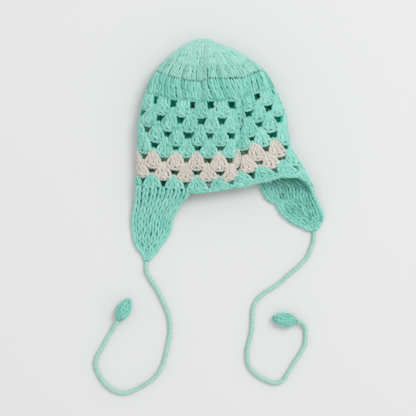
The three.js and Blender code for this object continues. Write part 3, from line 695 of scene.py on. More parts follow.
def add_vees(skein, fabric, base, top, half, rng, tone, face):
    """V-shaped stitches from base to top places (k, 2) on one face of the fabric."""
    reach = yarn_reach()
    each = (len(base), 1)
    t = np.linspace(0, 1, PLAIN_RINGS)[None, :]
    u, v = between(base, top, t)
    v = v + stray(rng, "vee place", each)
    thick = np.clip(FLAP_VEE.thickness * half, *FLAP_VEE.limits)[:, None]
    shade = stray(rng, "vee tone", len(base), tone)
    for side in (-1, 1):
        apart = half[:, None] * (FLAP_VEE.foot + FLAP_VEE.opening * t)
        across = side * apart + stray(rng, "vee across", each)
        rise = reach * (VEE_LIFT * arch(t ** VEE_SKEW) - VEE_SINK)
        height = face * (rise + stray(rng, "vee height", each))
        paths, normals = strand_paths(fabric, u, v, across, height)
        radius = thick * swell(t, VEE_ENDS) * stray(rng, "vee thickness", each, 1)
        skein.add_tubes(paths, normals, radius, YARN_SIDES, yarn_tones(shade, STRAND_TONES, rng))


def add_chain(skein, fabric, u, v, loops, kind, rng, swing=0.85, tone=0.55):
    """A row of top loops along places (k, n): two strands that change sides once in every loop."""
    reach = yarn_reach()
    count, rings = u.shape
    phase = 2 * math.pi * loops * np.linspace(0, 1, rings)[None, :] + np.zeros((count, 1))
    shade = stray(rng, "chain tone", count, tone)
    for side in (0, math.pi):
        height = reach * np.cos(phase + side)
        across = swing * np.sin(phase + side)
        paths, normals = strand_paths(fabric, u, v, across, height)
        tones = yarn_tones(shade, CHAIN_TONES, rng)
        skein.add_tubes(paths, normals, CHAIN_RADIUS[kind], YARN_SIDES, tones)


# The half width of a post's base is measured a little past it, and none is taken below a least value.
WIDTH_STEP = 0.05
LEAST_HALF_WIDTH = 0.9


def add_ring_of_posts(skein, cap, count, start, end, rng, style, first=0.0, fullness=1.0, chained=True):
    """One dense round: posts from v start to v end, with or without the chain of their top loops."""
    share = COLUMNS / count
    u = first + (np.arange(count) + 0.5) * COLUMNS / count
    base = np.stack([u, np.full(count, start)], axis=-1)
    top = np.stack([u, np.full(count, end)], axis=-1)
    half_base, half_top = (
        np.maximum(width_at(cap, u, v, share) / 2, LEAST_HALF_WIDTH) * fullness
        for v in (start + WIDTH_STEP, end))
    add_posts(skein, cap, base, top, half_base, half_top, rng, style)
    if chained:
        rings = count * RINGS_PER_LOOP + 1
        places = first + np.linspace(0, COLUMNS, rings)[None, :]
        add_chain(skein, cap, places, np.full((1, rings), end), count, "round", rng, tone=style.tone)


# The crown's rounds from its centre: double crochets, tone, height in rounds, fullness and taper. The
# first starts just beside the centre, and each of the others a little before the last one's end.
CROWN_ROUNDS = (
    (20, 0.75, 1.04, 1.1, 0.12),
    (34, 0.68, 1.04, 1.1, 0.12),
    (44, 0.52, 1.04, 1.1, 0.12),
    (48, 0.25, 0.97, 1.03, 0.28),
)
CROWN_OVERLAP = 0.1
CROWN_START = 0.12
CROWN_RELIEF, CROWN_JITTER = 0.2, 0.09

# The deep round below the crown: its double crochets, which set the width of a stitch in all rounds below
# it, where they start and end, and how they are worked.
STITCHES_PER_ROUND = 42
STITCH_SHARE = COLUMNS / STITCHES_PER_ROUND
DEEP_ROUND = (3.99, 4.95)
DEEP_STYLE = PostStyle(tone=0.22, relief=0.7)

# The sheets behind the stitches: the steps of their cells across and down, and half their thickness.
SheetGrid = namedtuple("SheetGrid", "across down half")
CROWN_SHEET = SheetGrid(1 / 3, 0.25, 0.9)
DEEP_SHEET = SheetGrid(1 / 6, 0.25, 0.3)
CLUSTER_SHEET = SheetGrid(1 / 8, 0.1, 0.5)
FLAP_SHEET = SheetGrid(1 / 10, 0.25, 0.5)
BUD_SHEET = SheetGrid(1, 0.25, 0.3)

# Share of their width that the gaps keep in the layer that lies pressed on the surface, and the margins
# across and down by which the sheet stays back from them.
BACK_GAP_SHARE = 0.35
GAP_MARGIN_ACROSS, GAP_MARGIN_DOWN = 0.09, 0.12


def backing_cells(grid, first_v, last_v, keep=None):
    """Cells (i, j) of a sheet round the tube: all of them, or those whose middles are kept."""
    columns = np.arange(round(COLUMNS / grid.across))
    rounds = np.arange(round(first_v / grid.down), round(last_v / grid.down))
    i, j = np.meshgrid(columns, rounds, indexing="ij")
    if keep:
        kept = keep((i + 0.5) * grid.across, (j + 0.5) * grid.down)
        i, j = i[kept], j[kept]
    return list(zip(i.ravel().tolist(), j.ravel().tolist()))


def gap_row_offset(row):
    """Odd rows of gaps stand at whole columns and even rows halfway between."""
    return 0.0 if row % 2 else 0.5


def on_front(u, v):
    """Whether places lie on the layer of the cap that faces up."""
    heights, places = np.unique(v, return_inverse=True)
    rows = [round_at(height) for height in heights]
    across = np.array([row["across"] for row in rows])[places].reshape(v.shape)
    turn = np.array([row["turn"] for row in rows])[places].reshape(v.shape)
    return np.mod(u - turn, COLUMNS) < across


def in_gap(u, v):
    """Whether places lie in a see-through gap or its margin. Gaps are nearly closed at the back."""
    found = np.zeros(u.shape, dtype=bool)
    open_share = np.where(on_front(u, v), 1.0, BACK_GAP_SHARE)
    (top_half, top), (middle_half, middle), (bottom_half, bottom) = GAP_TOP, GAP_MIDDLE, GAP_BOTTOM
    first, last = top - GAP_MARGIN_DOWN, bottom + GAP_MARGIN_DOWN
    for row in range(1, CLUSTER_ROWS + 1):
        offset = np.abs(np.mod(u - gap_row_offset(row) + 0.5, 1) - 0.5)
        drop = v - (LAST_DENSE_ROUND + GAP_ABOVE_FIRST_ROW + row - 1)
        half = np.interp(drop, [first, top, middle, bottom, last],
                         [top_half, top_half, middle_half, bottom_half, bottom_half])
        tall = (drop > first) & (drop < last)
        found |= tall & (offset < (half + GAP_MARGIN_ACROSS) * open_share)
    return found


# The border below a row of clusters: how far before the full round it lies on average, and how far it
# waves, in rounds.
BORDER_RISE, BORDER_WAVE = 0.3, 0.33


def cluster_row_at(u, v):
    """Row of clusters that each place belongs to."""
    row = np.full(u.shape, CLUSTER_ROWS)
    for n in range(CLUSTER_ROWS - 1, 0, -1):
        centre = (n % 2) / 2
        edge = LAST_DENSE_ROUND + n - BORDER_RISE + BORDER_WAVE * np.cos(2 * math.pi * (u - centre))
        row = np.where(v < edge, n, row)
    return row


def cluster_centre_at(u, row):
    """Column of the middle of the cluster that each place belongs to."""
    shift = (row % 2) / 2
    return np.mod(np.round(u - shift) + shift, COLUMNS)


# Seam clusters: the two mint clusters among the white ones, (row, column).
SEAM_CLUSTERS = ((5, 7.5), (6, 7.0))
WHITE_ROWS = (5, 6)


def piece_of(row, centre):
    """Piece that a cluster belongs to."""
    if any((row == seam_row) & (centre % COLUMNS == column) for seam_row, column in SEAM_CLUSTERS):
        return "seam_clusters"
    if row in WHITE_ROWS:
        return "white_band"
    return "openwork" if row < WHITE_ROWS[0] else "rim_band"


def on_flap(u):
    """Whether columns lie above an ear flap."""
    found = np.zeros(len(u), dtype=bool)
    for start, end in (LEFT_FLAP_RANGE, RIGHT_FLAP_RANGE):
        found |= np.mod(u - start, COLUMNS) < end - start
    return found


# Clusters: the places of their posts in the fan, on the front and at the back. Then, in rounds after the
# number of the row, their middle, the base of their posts, their top and the lowest place of their arc.
# The posts of the first row stand on the deep round.
FRONT_FAN, BACK_FAN = (-1, 0, 1), (-1.35, -0.45, 0.45, 1.35)
CLUSTER_MIDDLE, CLUSTER_BASE = 4.5, 3.47
CLUSTER_TOP = {"last": 4.83, "other": 4.9}
ARC_BOTTOM = 4.95
FIRST_ROW_BASE = LAST_DENSE_ROUND - 0.02

# How far apart, in columns, neighbouring posts start and end, how much shorter each place outwards makes
# them, their half width as a share of a stitch's and where that is measured, the share of it at their
# base, and how far and in which power the ends of the arc rise.
BASE_APART = {"first": 0.172, "other": 0.08}
TOP_APART = {"last": 0.31, "other": 0.285}
OUTER_POSTS_SHORTER = 0.1
ARM_WIDTH, ARM_WIDTH_BEFORE_TOP = 0.49, 0.3
ARM_BASE = {"first": 0.85, "other": 0.55}
ARC_RISE, ARC_POWER = {"last": 0.3, "other": 0.5}, 2.5


def by_row(rows, values):
    """The value of each row, where the first or the last row has one of its own."""
    special, row = ("first", 1) if "first" in values else ("last", CLUSTER_ROWS)
    return np.where(rows == row, values[special], values["other"])


def add_clusters(skein, cap, clusters, rng):
    """Clusters (row, column): double crochets that fan out, and the arc of top loops below them."""
    rows = np.array([row for row, _ in clusters], dtype=float)
    centres = np.array([centre for _, centre in clusters], dtype=float)
    front = on_front(centres, rows + CLUSTER_MIDDLE)
    centres = centres + stray(rng, "cluster column", len(centres))
    drop = stray(rng, "cluster drop", len(centres))
    for shown, fan in ((front, FRONT_FAN), (~front, BACK_FAN)):
        row, centre = rows[shown], centres[shown]
        for place in fan:
            base_u = centre + place * by_row(row, BASE_APART)
            base_v = np.where(row == 1, FIRST_ROW_BASE, row + CLUSTER_BASE)
            top_u = centre + place * by_row(row, TOP_APART)
            top_v = row + drop[shown] + by_row(row, CLUSTER_TOP) - OUTER_POSTS_SHORTER * abs(place)
            base = np.stack([base_u, base_v], axis=-1)
            top = np.stack([top_u, top_v], axis=-1)
            half_top = ARM_WIDTH * width_at(cap, centre, top_v - ARM_WIDTH_BEFORE_TOP, STITCH_SHARE)
            half_base = half_top * by_row(row, ARM_BASE)
            add_posts(skein, cap, base, top, half_base, half_top, rng)
    edged = ~((rows == CLUSTER_ROWS) & on_flap(centres))
    rows, centres, drop = rows[edged, None], centres[edged, None], drop[edged, None]
    share = np.linspace(-0.5, 0.5, 3 * RINGS_PER_LOOP + 1)[None, :]
    rise = by_row(rows, ARC_RISE) * np.abs(2 * share) ** ARC_POWER
    add_chain(skein, cap, centres + share, rows + drop + ARC_BOTTOM - rise, 3, "cluster", rng)


# The edging along the rim: how far before the rim its stitches start and end and its chain lies.
EDGING_START, EDGING_END, EDGING_CHAIN = 0.5, 0.06, 0.09


def add_rim_edging(skein, cap, rng):
    """Short stitches and a chain of loops that close the rim between the ear flaps."""
    front = (LEFT_FLAP_RANGE[1], RIGHT_FLAP_RANGE[0])
    back = (RIGHT_FLAP_RANGE[1], COLUMNS + LEFT_FLAP_RANGE[0])
    for start, end in (front, back):
        count = round((end - start) / STITCH_SHARE)
        u = start + (np.arange(count) + 0.5) * (end - start) / count
        base = np.stack([u, np.full(count, RIM - EDGING_START)], axis=-1)
        top = np.stack([u, np.full(count, RIM - EDGING_END)], axis=-1)
        half = width_at(cap, u, top[:, 1], STITCH_SHARE) / 2
        add_posts(skein, cap, base, top, half, half, rng)
        places = np.linspace(start, end, count * RINGS_PER_LOOP + 1)[None, :]
        add_chain(skein, cap, places, np.full_like(places, RIM - EDGING_CHAIN), count, "rim", rng)


# The flaps' stitches: how many V shapes stand in each row, their tone, and how much darker they are towards
# the outer side and the rim. The right flap's lower tone and that darkening are painted shade, for the shade
# of the rim's arch that it lies in.
LEFT_FLAP_STITCHES = (7, 7, 7, 6, 4, 2)
RIGHT_FLAP_STITCHES = (8, 8, 7, 6, 5, 3)
LEFT_FLAP_TONES = (0.42, 0.0)
RIGHT_FLAP_TONES = (0.2, 0.3)

# Their lengths, in rows of the flap: where the first half row starts on the cap's fabric and where it
# ends, how far the others reach back, and how far they reach on.
FLAP_TOP, FLAP_TOP_END = 0.03, 0.14
FLAP_VEE_BACK, FLAP_VEE_ON = 0.1, 0.62

# The edging down the flaps' sides: its loops, how far its ends stay back in rows, its distance from the
# edge in millimetres, the least width of flap reckoned with, and how far its strands swing.
SIDE_LOOPS, SIDE_ENDS = 14, 0.05
SIDE_INSET, SIDE_LEAST_WIDTH = 1.2, 4
SIDE_SWING = 0.9


def add_flap_stitches(skein, flap, rows, counts, rng, face, tones):
    """Half rows of V-shaped stitches down both faces of a flap and the edging along its sides."""
    tone, shade = tones
    for start in [FLAP_TOP - FLAP_OVERLAP] + [level / 2 for level in range(2 * rows)]:
        on_cap = start < 0
        count = counts[max(int(start), 0)]
        a = (np.arange(count) + 0.5) / count
        base = np.stack([a, np.full(count, start if on_cap else start - FLAP_VEE_BACK)], axis=-1)
        top = np.stack([a, np.full(count, FLAP_TOP_END if on_cap else start + FLAP_VEE_ON)], axis=-1)
        half = width_at(flap, a, (base[:, 1] + top[:, 1]) / 2, 1 / count) / 2
        # Painted shade: stitches darker towards the outer side and the rim, by the flap's shade share.
        shaded = tone - shade * (1 - a) * (1 - max(start, 0) / rows)
        for side in (face, -face):
            add_vees(skein, flap, base, top, half, rng, shaded, side)
    rings = SIDE_LOOPS * (RINGS_PER_LOOP + 1) + 1
    down = np.linspace(SIDE_ENDS, rows - SIDE_ENDS, rings)[None, :]
    widths = width_at(flap, np.full_like(down, 0.5), down, 1.0)
    inset = SIDE_INSET / np.maximum(widths, SIDE_LEAST_WIDTH)
    for places in (inset, 1 - inset):
        add_chain(skein, flap, places, down, SIDE_LOOPS, "flap", rng, swing=SIDE_SWING)


# Materials.

class Wire:
    """A shader socket that takes part in Python arithmetic."""

    def __init__(self, tree, socket):
        self.tree, self.socket = tree, socket

    def math(self, operation, *values):
        """A Math node on this or other values."""
        return self.tree.node("ShaderNodeMath", {"operation": operation}, dict(enumerate(values)))[0]

    def __add__(self, other):
        return self.math("ADD", self, other)

    def __radd__(self, other):
        return self.math("ADD", other, self)

    def __sub__(self, other):
        return self.math("SUBTRACT", self, other)

    def __rsub__(self, other):
        return self.math("SUBTRACT", other, self)

    def __mul__(self, other):
        return self.math("MULTIPLY", self, other)

    def __rmul__(self, other):
        return self.math("MULTIPLY", other, self)

    def __truediv__(self, other):
        return self.math("DIVIDE", self, other)

    def __rtruediv__(self, other):
        return self.math("DIVIDE", other, self)

    def __abs__(self):
        return self.math("ABSOLUTE", self)

    def sine(self):
        """Sine of an angle in radians."""
        return self.math("SINE", self)

    def clamped(self):
        """The value kept between 0 and 1."""
        return self.math("MINIMUM", self.math("MAXIMUM", self, 0.0), 1.0)


class ShaderTree:
    """The nodes of one material."""

    def __init__(self, name):
        self.material = bpy.data.materials.new(name)
        self.material.use_nodes = True
        self.tree = self.material.node_tree
        self.tree.nodes.clear()

    def node(self, kind, settings=None, inputs=None):
        """Adds a node, sets it up and links or fills its sockets; gives its outputs by place."""
        made = self.tree.nodes.new(kind)
        for name, value in (settings or {}).items():
            setattr(made, name, value)
        for name, value in (inputs or {}).items():
            socket = made.inputs[name]
            if isinstance(value, Wire):
                self.tree.links.new(value.socket, socket)
            else:
                socket.default_value = value
        return [Wire(self, output) for output in made.outputs]

    def mix(self, factor, first, second):
        """Blend of two colours."""
        return self.node("ShaderNodeMix", {"data_type": "RGBA"}, {0: factor, 6: first, 7: second})[2]

    def finish(self, shader):
        """The material with its shader on the output."""
        self.node("ShaderNodeOutputMaterial", None, {"Surface": shader})
        return self.material


def opaque(colour):
    """A colour with full alpha."""
    return (*colour, 1.0)


BLACK = (0.0, 0.0, 0.0)

# The streaks of fibres: how many to a metre of yarn and how many around it. Then the fineness of the fluff
# and of the larger tufts, as patterns to a metre.
FIBRE_LENGTH_SCALE = 320
FIBRES_AROUND = 9
FLUFF_SCALE, TUFT_SCALE = 1100.0, 160.0

# The share of the light colour on yarn of middle tone, and what each pattern adds to it or takes away.
LIGHT_SHARE, PLY_LIGHT = 0.45, 0.2
FIBRE_LIGHT, FLUFF_LIGHT, TUFT_LIGHT, TONE_LIGHT = 0.5, 0.4, 0.5, 0.45

# The relief: what each pattern adds to it, its height in metres and its strength.
PLY_RELIEF, FIBRE_RELIEF, FLUFF_RELIEF = 0.4, 0.7, 0.6
RELIEF_HEIGHT, RELIEF_STRENGTH = 0.0006, 0.8

# Painted light and shade: the strength of the painted glow in the wool's deepest places, which stands in for
# light let through the wool, the share of light left in the hollows' painted shade, and how fast the tones
# below a hollow's turn to the painted colour of the deepest places.
PAINTED_GLOW = 0.115
HOLLOW_LIGHT = 0.62
DEEPENING = 2.0


def wool(name, light, deep, pit):
    """Soft plied yarn: fibres and plies in colour and relief, a matt surface with a pale bloom, and painted
    shade in the hollows and inside the cap with a painted glow in the deepest places.
    """
    yarn = bpy.context.scene.cap_yarn
    tree = ShaderTree(name)
    uv = tree.node("ShaderNodeUVMap", {"uv_map": "Yarn"})[0]
    along, around, _ = tree.node("ShaderNodeSeparateXYZ", None, {0: uv})
    tone = tree.node("ShaderNodeAttribute", {"attribute_name": "tone"})[2]
    place = tree.node("ShaderNodeTexCoord")[3]
    twisted = around + along / yarn.ply_pitch
    ply = abs((twisted * (math.pi * yarn.plies)).sine())
    streak = {0: along * FIBRE_LENGTH_SCALE, 1: twisted * FIBRES_AROUND}
    strand = tree.node("ShaderNodeCombineXYZ", None, streak)[0]
    fibres, fluff, tufts = (
        tree.node("ShaderNodeTexNoise", None, {"Vector": vector, "Scale": scale, "Detail": detail})[0]
        for vector, scale, detail in (
            (strand, 1.0, 3.0), (place, FLUFF_SCALE, 3.0), (place, TUFT_SCALE, 2.0)))
    uneven = (FIBRE_LIGHT * (fibres - 0.5) + FLUFF_LIGHT * (fluff - 0.5)
              + TUFT_LIGHT * (tufts - 0.5) + TONE_LIGHT * (tone - 0.5))
    light_share = LIGHT_SHARE + PLY_LIGHT * ply + uneven
    yarn_colour = tree.mix(light_share.clamped(), opaque(deep), opaque(light))
    # Painted shade: tones below 0 turn to a darkened deep colour in the hollows, and lower ones to the pit
    # colour inside the cap.
    hollow_shade = (tone / HOLLOW_SHADE).clamped()
    behind = ((tone - 2 * HOLLOW_SHADE) / (BEHIND_SHADE - 2 * HOLLOW_SHADE) * DEEPENING).clamped()
    shaded = tree.mix(hollow_shade, yarn_colour, opaque(part * part * HOLLOW_LIGHT for part in deep))
    colour = tree.mix(behind, shaded, opaque(pit))
    # Painted glow of the deepest places inside the cap, standing in for light let through the wool.
    painted_glow = tree.mix(behind, opaque(BLACK), opaque(part * PAINTED_GLOW for part in pit))
    relief = PLY_RELIEF * ply + FIBRE_RELIEF * fibres + FLUFF_RELIEF * fluff
    bump = tree.node("ShaderNodeBump", None, {
        "Height": relief, "Distance": RELIEF_HEIGHT, "Strength": RELIEF_STRENGTH})[0]
    shader = tree.node("ShaderNodeBsdfPrincipled", None, {
        "Base Color": colour, "Roughness": 0.9, "Specular IOR Level": 0.12, "Sheen Weight": 0.2,
        "Sheen Roughness": 0.45, "Emission Color": painted_glow, "Emission Strength": 1.0, "Normal": bump})[0]
    tree.material.cycles.emission_sampling = "NONE"
    return tree.finish(shader)


# The floor's faint cloudiness: its patterns to a metre, its strength and the colour that it tends to.
CLOUD_SCALE, CLOUDINESS = 3.0, 0.04
CLOUD_COLOUR = (0.9, 0.9, 0.9)


def paper(name, colour):
    """The plain pale floor."""
    tree = ShaderTree(name)
    place = tree.node("ShaderNodeTexCoord")[3]
    clouds = tree.node("ShaderNodeTexNoise", None, {"Vector": place, "Scale": CLOUD_SCALE, "Detail": 2.0})[0]
    tint = tree.mix(CLOUDINESS * clouds, opaque(colour), opaque(CLOUD_COLOUR))
    shader = tree.node("ShaderNodeBsdfPrincipled", None, {
        "Base Color": tint, "Roughness": 0.9, "Specular IOR Level": 0.1})[0]
    return tree.finish(shader)


def yarn_material(kind):
    """The material of one yarn, made once."""
    found = bpy.data.materials.get(kind)
    if found:
        return found
    colours = bpy.context.scene.cap_colours
    light, deep, pit = {
        "mint_wool": (colours.mint, colours.mint_deep, colours.mint_pit_shade),
        "crown_wool": (colours.crown, colours.crown_deep, colours.mint_pit_shade),
        "white_wool": (colours.white, colours.white_deep, colours.white_pit_shade),
        "cord_wool": (colours.cord, colours.cord_deep, colours.mint_pit_shade),
    }[kind]
    return wool(kind, tuple(light), tuple(deep), tuple(pit))


def place_piece(piece, node):
    """The piece stands for one solid of the cap, which it hides, and hangs from the root."""
    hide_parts(node)
    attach(piece, "root")


# Cords and buds.

# Points from one place of the route to the next, and the least root of a span, so that none is zero.
CURVE_STEPS = 16
LEAST_SPAN = 1e-4


def flat_direction(heading):
    """A heading on the surface as a vector of length 1."""
    return np.array([*heading, 0.0]) / math.hypot(*heading)


def cord_path(route, heading):
    """Points of a cord's middle, close together, through its given route."""
    height = CORD_DIAMETER / 2 + CORD_CLEARANCE
    lying = [np.array([x, y, height]) for x, y in route[:-1]]
    end = np.array([*route[-1], BUD_THICKNESS / 2])
    points = lying + [end - flat_direction(heading) * CORD_NECK, end]
    points = [2 * points[0] - points[1]] + points + [2 * points[-1] - points[-2]]
    path = []
    for quad in zip(points, points[1:], points[2:], points[3:]):
        before, near, far, after = quad
        first, middle, last = (
            max(math.sqrt(np.linalg.norm(b - a)), LEAST_SPAN) for a, b in zip(quad, quad[1:]))
        chord = (far - near) / middle
        leaving = ((near - before) / first - (far - before) / (first + middle) + chord) * middle
        arriving = (chord - (after - near) / (middle + last) + (after - far) / last) * middle
        for t in np.linspace(0, 1, CURVE_STEPS, endpoint=False):
            path.append(near * (2 * t ** 3 - 3 * t ** 2 + 1) + leaving * (t ** 3 - 2 * t ** 2 + t)
                        + far * (3 * t ** 2 - 2 * t ** 3) + arriving * (t ** 3 - t ** 2))
    path.append(points[-2])
    return np.array(path)


def even_steps(path, step):
    """The same path in even steps, and its length."""
    along = np.concatenate([[0], np.cumsum(np.linalg.norm(np.diff(path, axis=0), axis=1))])
    places = np.linspace(0, along[-1], int(round(along[-1] / step)) + 1)
    return np.stack([np.interp(places, along, path[:, k]) for k in range(3)], axis=-1), along[-1]


# The cord's surface: the length of a loop, how far the loops lean round the cord, its mean radius and
# relief as shares of half its diameter, the length and least share of its rounded ends, and its tone.
LOOP_LENGTH = 4.4
LOOP_LEAN = 0.9
CORD_FULLNESS, CORD_RELIEF = 0.88, 0.1
CORD_END, CORD_END_SHARE = 1.5, 0.15
CORD_TONE = 0.5
CORD_STEP = 0.7
CORD_SIDES = 20


def make_tie(name, route, heading):
    """A crocheted cord: a round tube whose loops lie on it in small V shapes."""
    path, length = even_steps(cord_path(route, heading), CORD_STEP)
    skein = Skein()
    rings = len(path)
    normals = np.tile([0.0, 0.0, 1.0], (1, rings, 1))
    skein.add_tubes(path[None], normals, 1.0, CORD_SIDES, CORD_TONE)
    outward = skein.points[0].reshape(rings, CORD_SIDES, 3) - path[:, None]
    angle = 2 * math.pi * np.arange(CORD_SIDES) / CORD_SIDES
    along = np.arange(rings)[:, None] * length / (rings - 1)
    lean = np.abs(np.mod(angle / math.pi - 0.5, 2) - 1)[None, :]
    wave = np.cos(2 * math.pi * (along / LOOP_LENGTH + LOOP_LEAN * lean))
    ends = np.clip(np.minimum(along, length - along) / CORD_END, 0, 1)
    rounding = np.sqrt(CORD_END_SHARE + (1 - CORD_END_SHARE) * ends)
    radius = CORD_DIAMETER / 2 * (CORD_FULLNESS + CORD_RELIEF * wave) * rounding
    skein.points[0] = (path[:, None] + outward * radius[..., None]).reshape(-1, 3)
    piece = skein.build(name, yarn_material("cord_wool"))
    return piece, path * MM, length * MM


# The bud's outline: places from its base to its tip, as shares of its length and of its half width. Then
# the cells of its grid from base to tip, the number of the last round there, the step of its columns, the
# cells over which the outline is smoothed, how far below it the middle of the wool lies, and the least
# radius of that.
BUD_PROFILE = (
    (0, 0.02), (0, 0.32), (0.12, 0.72), (0.34, 1), (0.52, 0.98), (0.74, 0.8), (0.92, 0.48), (1, 0.06),
)
BUD_CELLS = 60
BUD_LAST_ROUND = 5
BUD_COLUMN_STEP = 0.1
BUD_SMOOTHING = 5
BUD_INSET = 1.3
BUD_LEAST_RADIUS = 0.15


def bud_fabric(route, heading):
    """The bud's skin: columns around it against rounds from its base to its tip."""
    length_shares, radius_shares = np.array(BUD_PROFILE).T
    rounds = np.linspace(0, 1, BUD_CELLS + 1)
    knots = np.linspace(0, 1, len(BUD_PROFILE))
    along = np.interp(rounds, knots, length_shares) * BUD_LENGTH
    radius = np.interp(rounds, knots, radius_shares) * BUD_WIDTH / 2
    kernel = np.ones(BUD_SMOOTHING) / BUD_SMOOTHING
    smoothed = slice(BUD_SMOOTHING // 2, -(BUD_SMOOTHING // 2))
    along[smoothed] = np.convolve(along, kernel, "valid")
    radius[smoothed] = np.convolve(radius, kernel, "valid")
    angle = 2 * math.pi * np.arange(0, COLUMNS + BUD_COLUMN_STEP / 2, BUD_COLUMN_STEP) / COLUMNS
    direction = flat_direction(heading)
    sideways = np.array([direction[1], -direction[0], 0.0])
    upward = np.array([0.0, 0.0, 1.0]) * BUD_THICKNESS / BUD_WIDTH
    base = np.array([*route[-1], BUD_THICKNESS / 2]) + direction * JOINT_GAP
    wide = np.maximum(radius - BUD_INSET, BUD_LEAST_RADIUS)[:, None]
    points = (base + direction * along[:, None, None]
              + sideways * (wide * np.cos(angle))[..., None] + upward * (wide * np.sin(angle))[..., None])
    steps = (BUD_LAST_ROUND / BUD_CELLS, BUD_COLUMN_STEP)
    return Fabric(points, (0, 0), steps, True, SLOPE_CELLS)


# Stitches in each round of a bud, from the cord to the tip. Then the place at which the rounds end, how far
# each is turned against the one before, in stitches, the least half width, the tone, how far the V shapes
# reach back and how long they are, in rounds of stitches, and the height, sinking and shape of their arch.
BUD_ROUNDS = (7, 10, 12, 12, 11, 10, 8, 6, 4)
BUD_STITCHED = 4.85
BUD_TURN = 0.4
BUD_LEAST_HALF = 0.4
BUD_TONE = 0.4
BUD_VEE_BACK, BUD_VEE_LENGTH = 0.15, 1.3
BUD_REACH, BUD_SINK, BUD_ARCH_POWER = 0.7, 0.1, 0.7


def make_bud(name, route, heading, rng):
    """A small crocheted leaf bud: rounds of V-shaped stitches, closed at the tip, over a stuffed core."""
    fabric = bud_fabric(route, heading)
    skein = Skein()
    t = np.linspace(0, 1, PLAIN_RINGS)[None, :]
    step = BUD_STITCHED / len(BUD_ROUNDS)
    for row, count in enumerate(BUD_ROUNDS):
        each = (count, 1)
        u = ((np.arange(count) + BUD_TURN * row) * COLUMNS / count)[:, None] + 0 * t
        widths = width_at(fabric, u[:, :1], (row + 0.5) * step, COLUMNS / count)
        half = np.maximum(widths / 2, BUD_LEAST_HALF)
        thick = np.clip(BUD_VEE.thickness * half, *BUD_VEE.limits)
        shade = stray(rng, "bud tone", count, BUD_TONE)
        for side in (-1, 1):
            v = step * (row - BUD_VEE_BACK + BUD_VEE_LENGTH * t) + stray(rng, "vee place", each)
            across = side * half * (BUD_VEE.foot + BUD_VEE.opening * t) + stray(rng, "bud across", each)
            height = BUD_REACH * arch(t, BUD_ARCH_POWER) - BUD_SINK + stray(rng, "bud height", each)
            paths, normals = strand_paths(fabric, u, v, across, height)
            radius = thick * swell(t, VEE_ENDS)
            skein.add_tubes(paths, normals, radius, YARN_SIDES, yarn_tones(shade, STRAND_TONES, rng))
    skein.add_sheet(fabric, backing_cells(BUD_SHEET, 0, BUD_LAST_ROUND), BUD_SHEET, HOLLOW_SHADE)
    return skein.build(name, yarn_material("mint_wool"))


# Operators.

TIES = (("left", LEFT_ROUTE, LEFT_HEADING), ("right", RIGHT_ROUTE, RIGHT_HEADING))

# Height above the floor, in metres, at which the view has its stated width.
VIEW_PLANE = 0.008

# Rows of a flap before its tip at which its sheet ends.
SHEET_BEFORE_TIP = 0.5


class CAP_OT_stage(bpy.types.Operator):
    """Adds the pale floor, the soft lights and the camera"""

    bl_idname = "cap.stage"
    bl_label = "Floor, lights and camera"

    def execute(self, context):
        scene = context.scene
        studio = scene.cap_studio
        bpy.ops.mesh.primitive_plane_add(size=6.0, location=(0, 0, 0))
        floor = context.object
        floor.name = "floor"
        floor.data.materials.append(paper("floor_paper", tuple(scene.cap_colours.floor)))
        world = bpy.data.worlds.new("studio")
        world.use_nodes = True
        background = world.node_tree.nodes["Background"]
        background.inputs["Color"].default_value = (1.0, 1.0, 1.0, 1.0)
        background.inputs["Strength"].default_value = studio.sky
        scene.world = world
        scene.view_settings.view_transform = "Standard"
        lamp_data = bpy.data.lights.new("window", "AREA")
        lamp_data.shape = "DISK"
        lamp_data.size = studio.lamp_size
        lamp_data.energy = studio.lamp_power
        lamp = bpy.data.objects.new("window", lamp_data)
        lamp.location = studio.lamp_place
        scene.collection.objects.link(lamp)
        target = bpy.data.objects.new("lamp_target", None)
        scene.collection.objects.link(target)
        aim = lamp.constraints.new("TRACK_TO")
        aim.target = target
        aim.track_axis = "TRACK_NEGATIVE_Z"
        aim.up_axis = "UP_Y"
        camera_data = bpy.data.cameras.new("camera")
        camera_data.sensor_width = 36.0
        distance = studio.camera_height - VIEW_PLANE
        camera_data.lens = camera_data.sensor_width * distance / studio.view_width
        camera_data.clip_start = 0.01
        camera = bpy.data.objects.new("camera", camera_data)
        camera.location = (*studio.view_centre, studio.camera_height)
        scene.collection.objects.link(camera)
        scene.camera = camera
        return {"FINISHED"}


class CAP_OT_ties(bpy.types.Operator):
    """Adds the two cords with the leaf buds on their ends"""

    bl_idname = "cap.ties"
    bl_label = "Cords and buds"

    def execute(self, context):
        rng = np.random.default_rng(context.scene.cap_yarn.seed)
        for side, route, heading in TIES:
            bud = make_bud(f"leaf_bud_{side}", route, heading, rng)
            place_piece(bud, f"bud_{side}")
            tie, path, length = make_tie(f"cord_{side}", route, heading)
            place_piece(tie, f"tie_{side}")
        return {"FINISHED"}


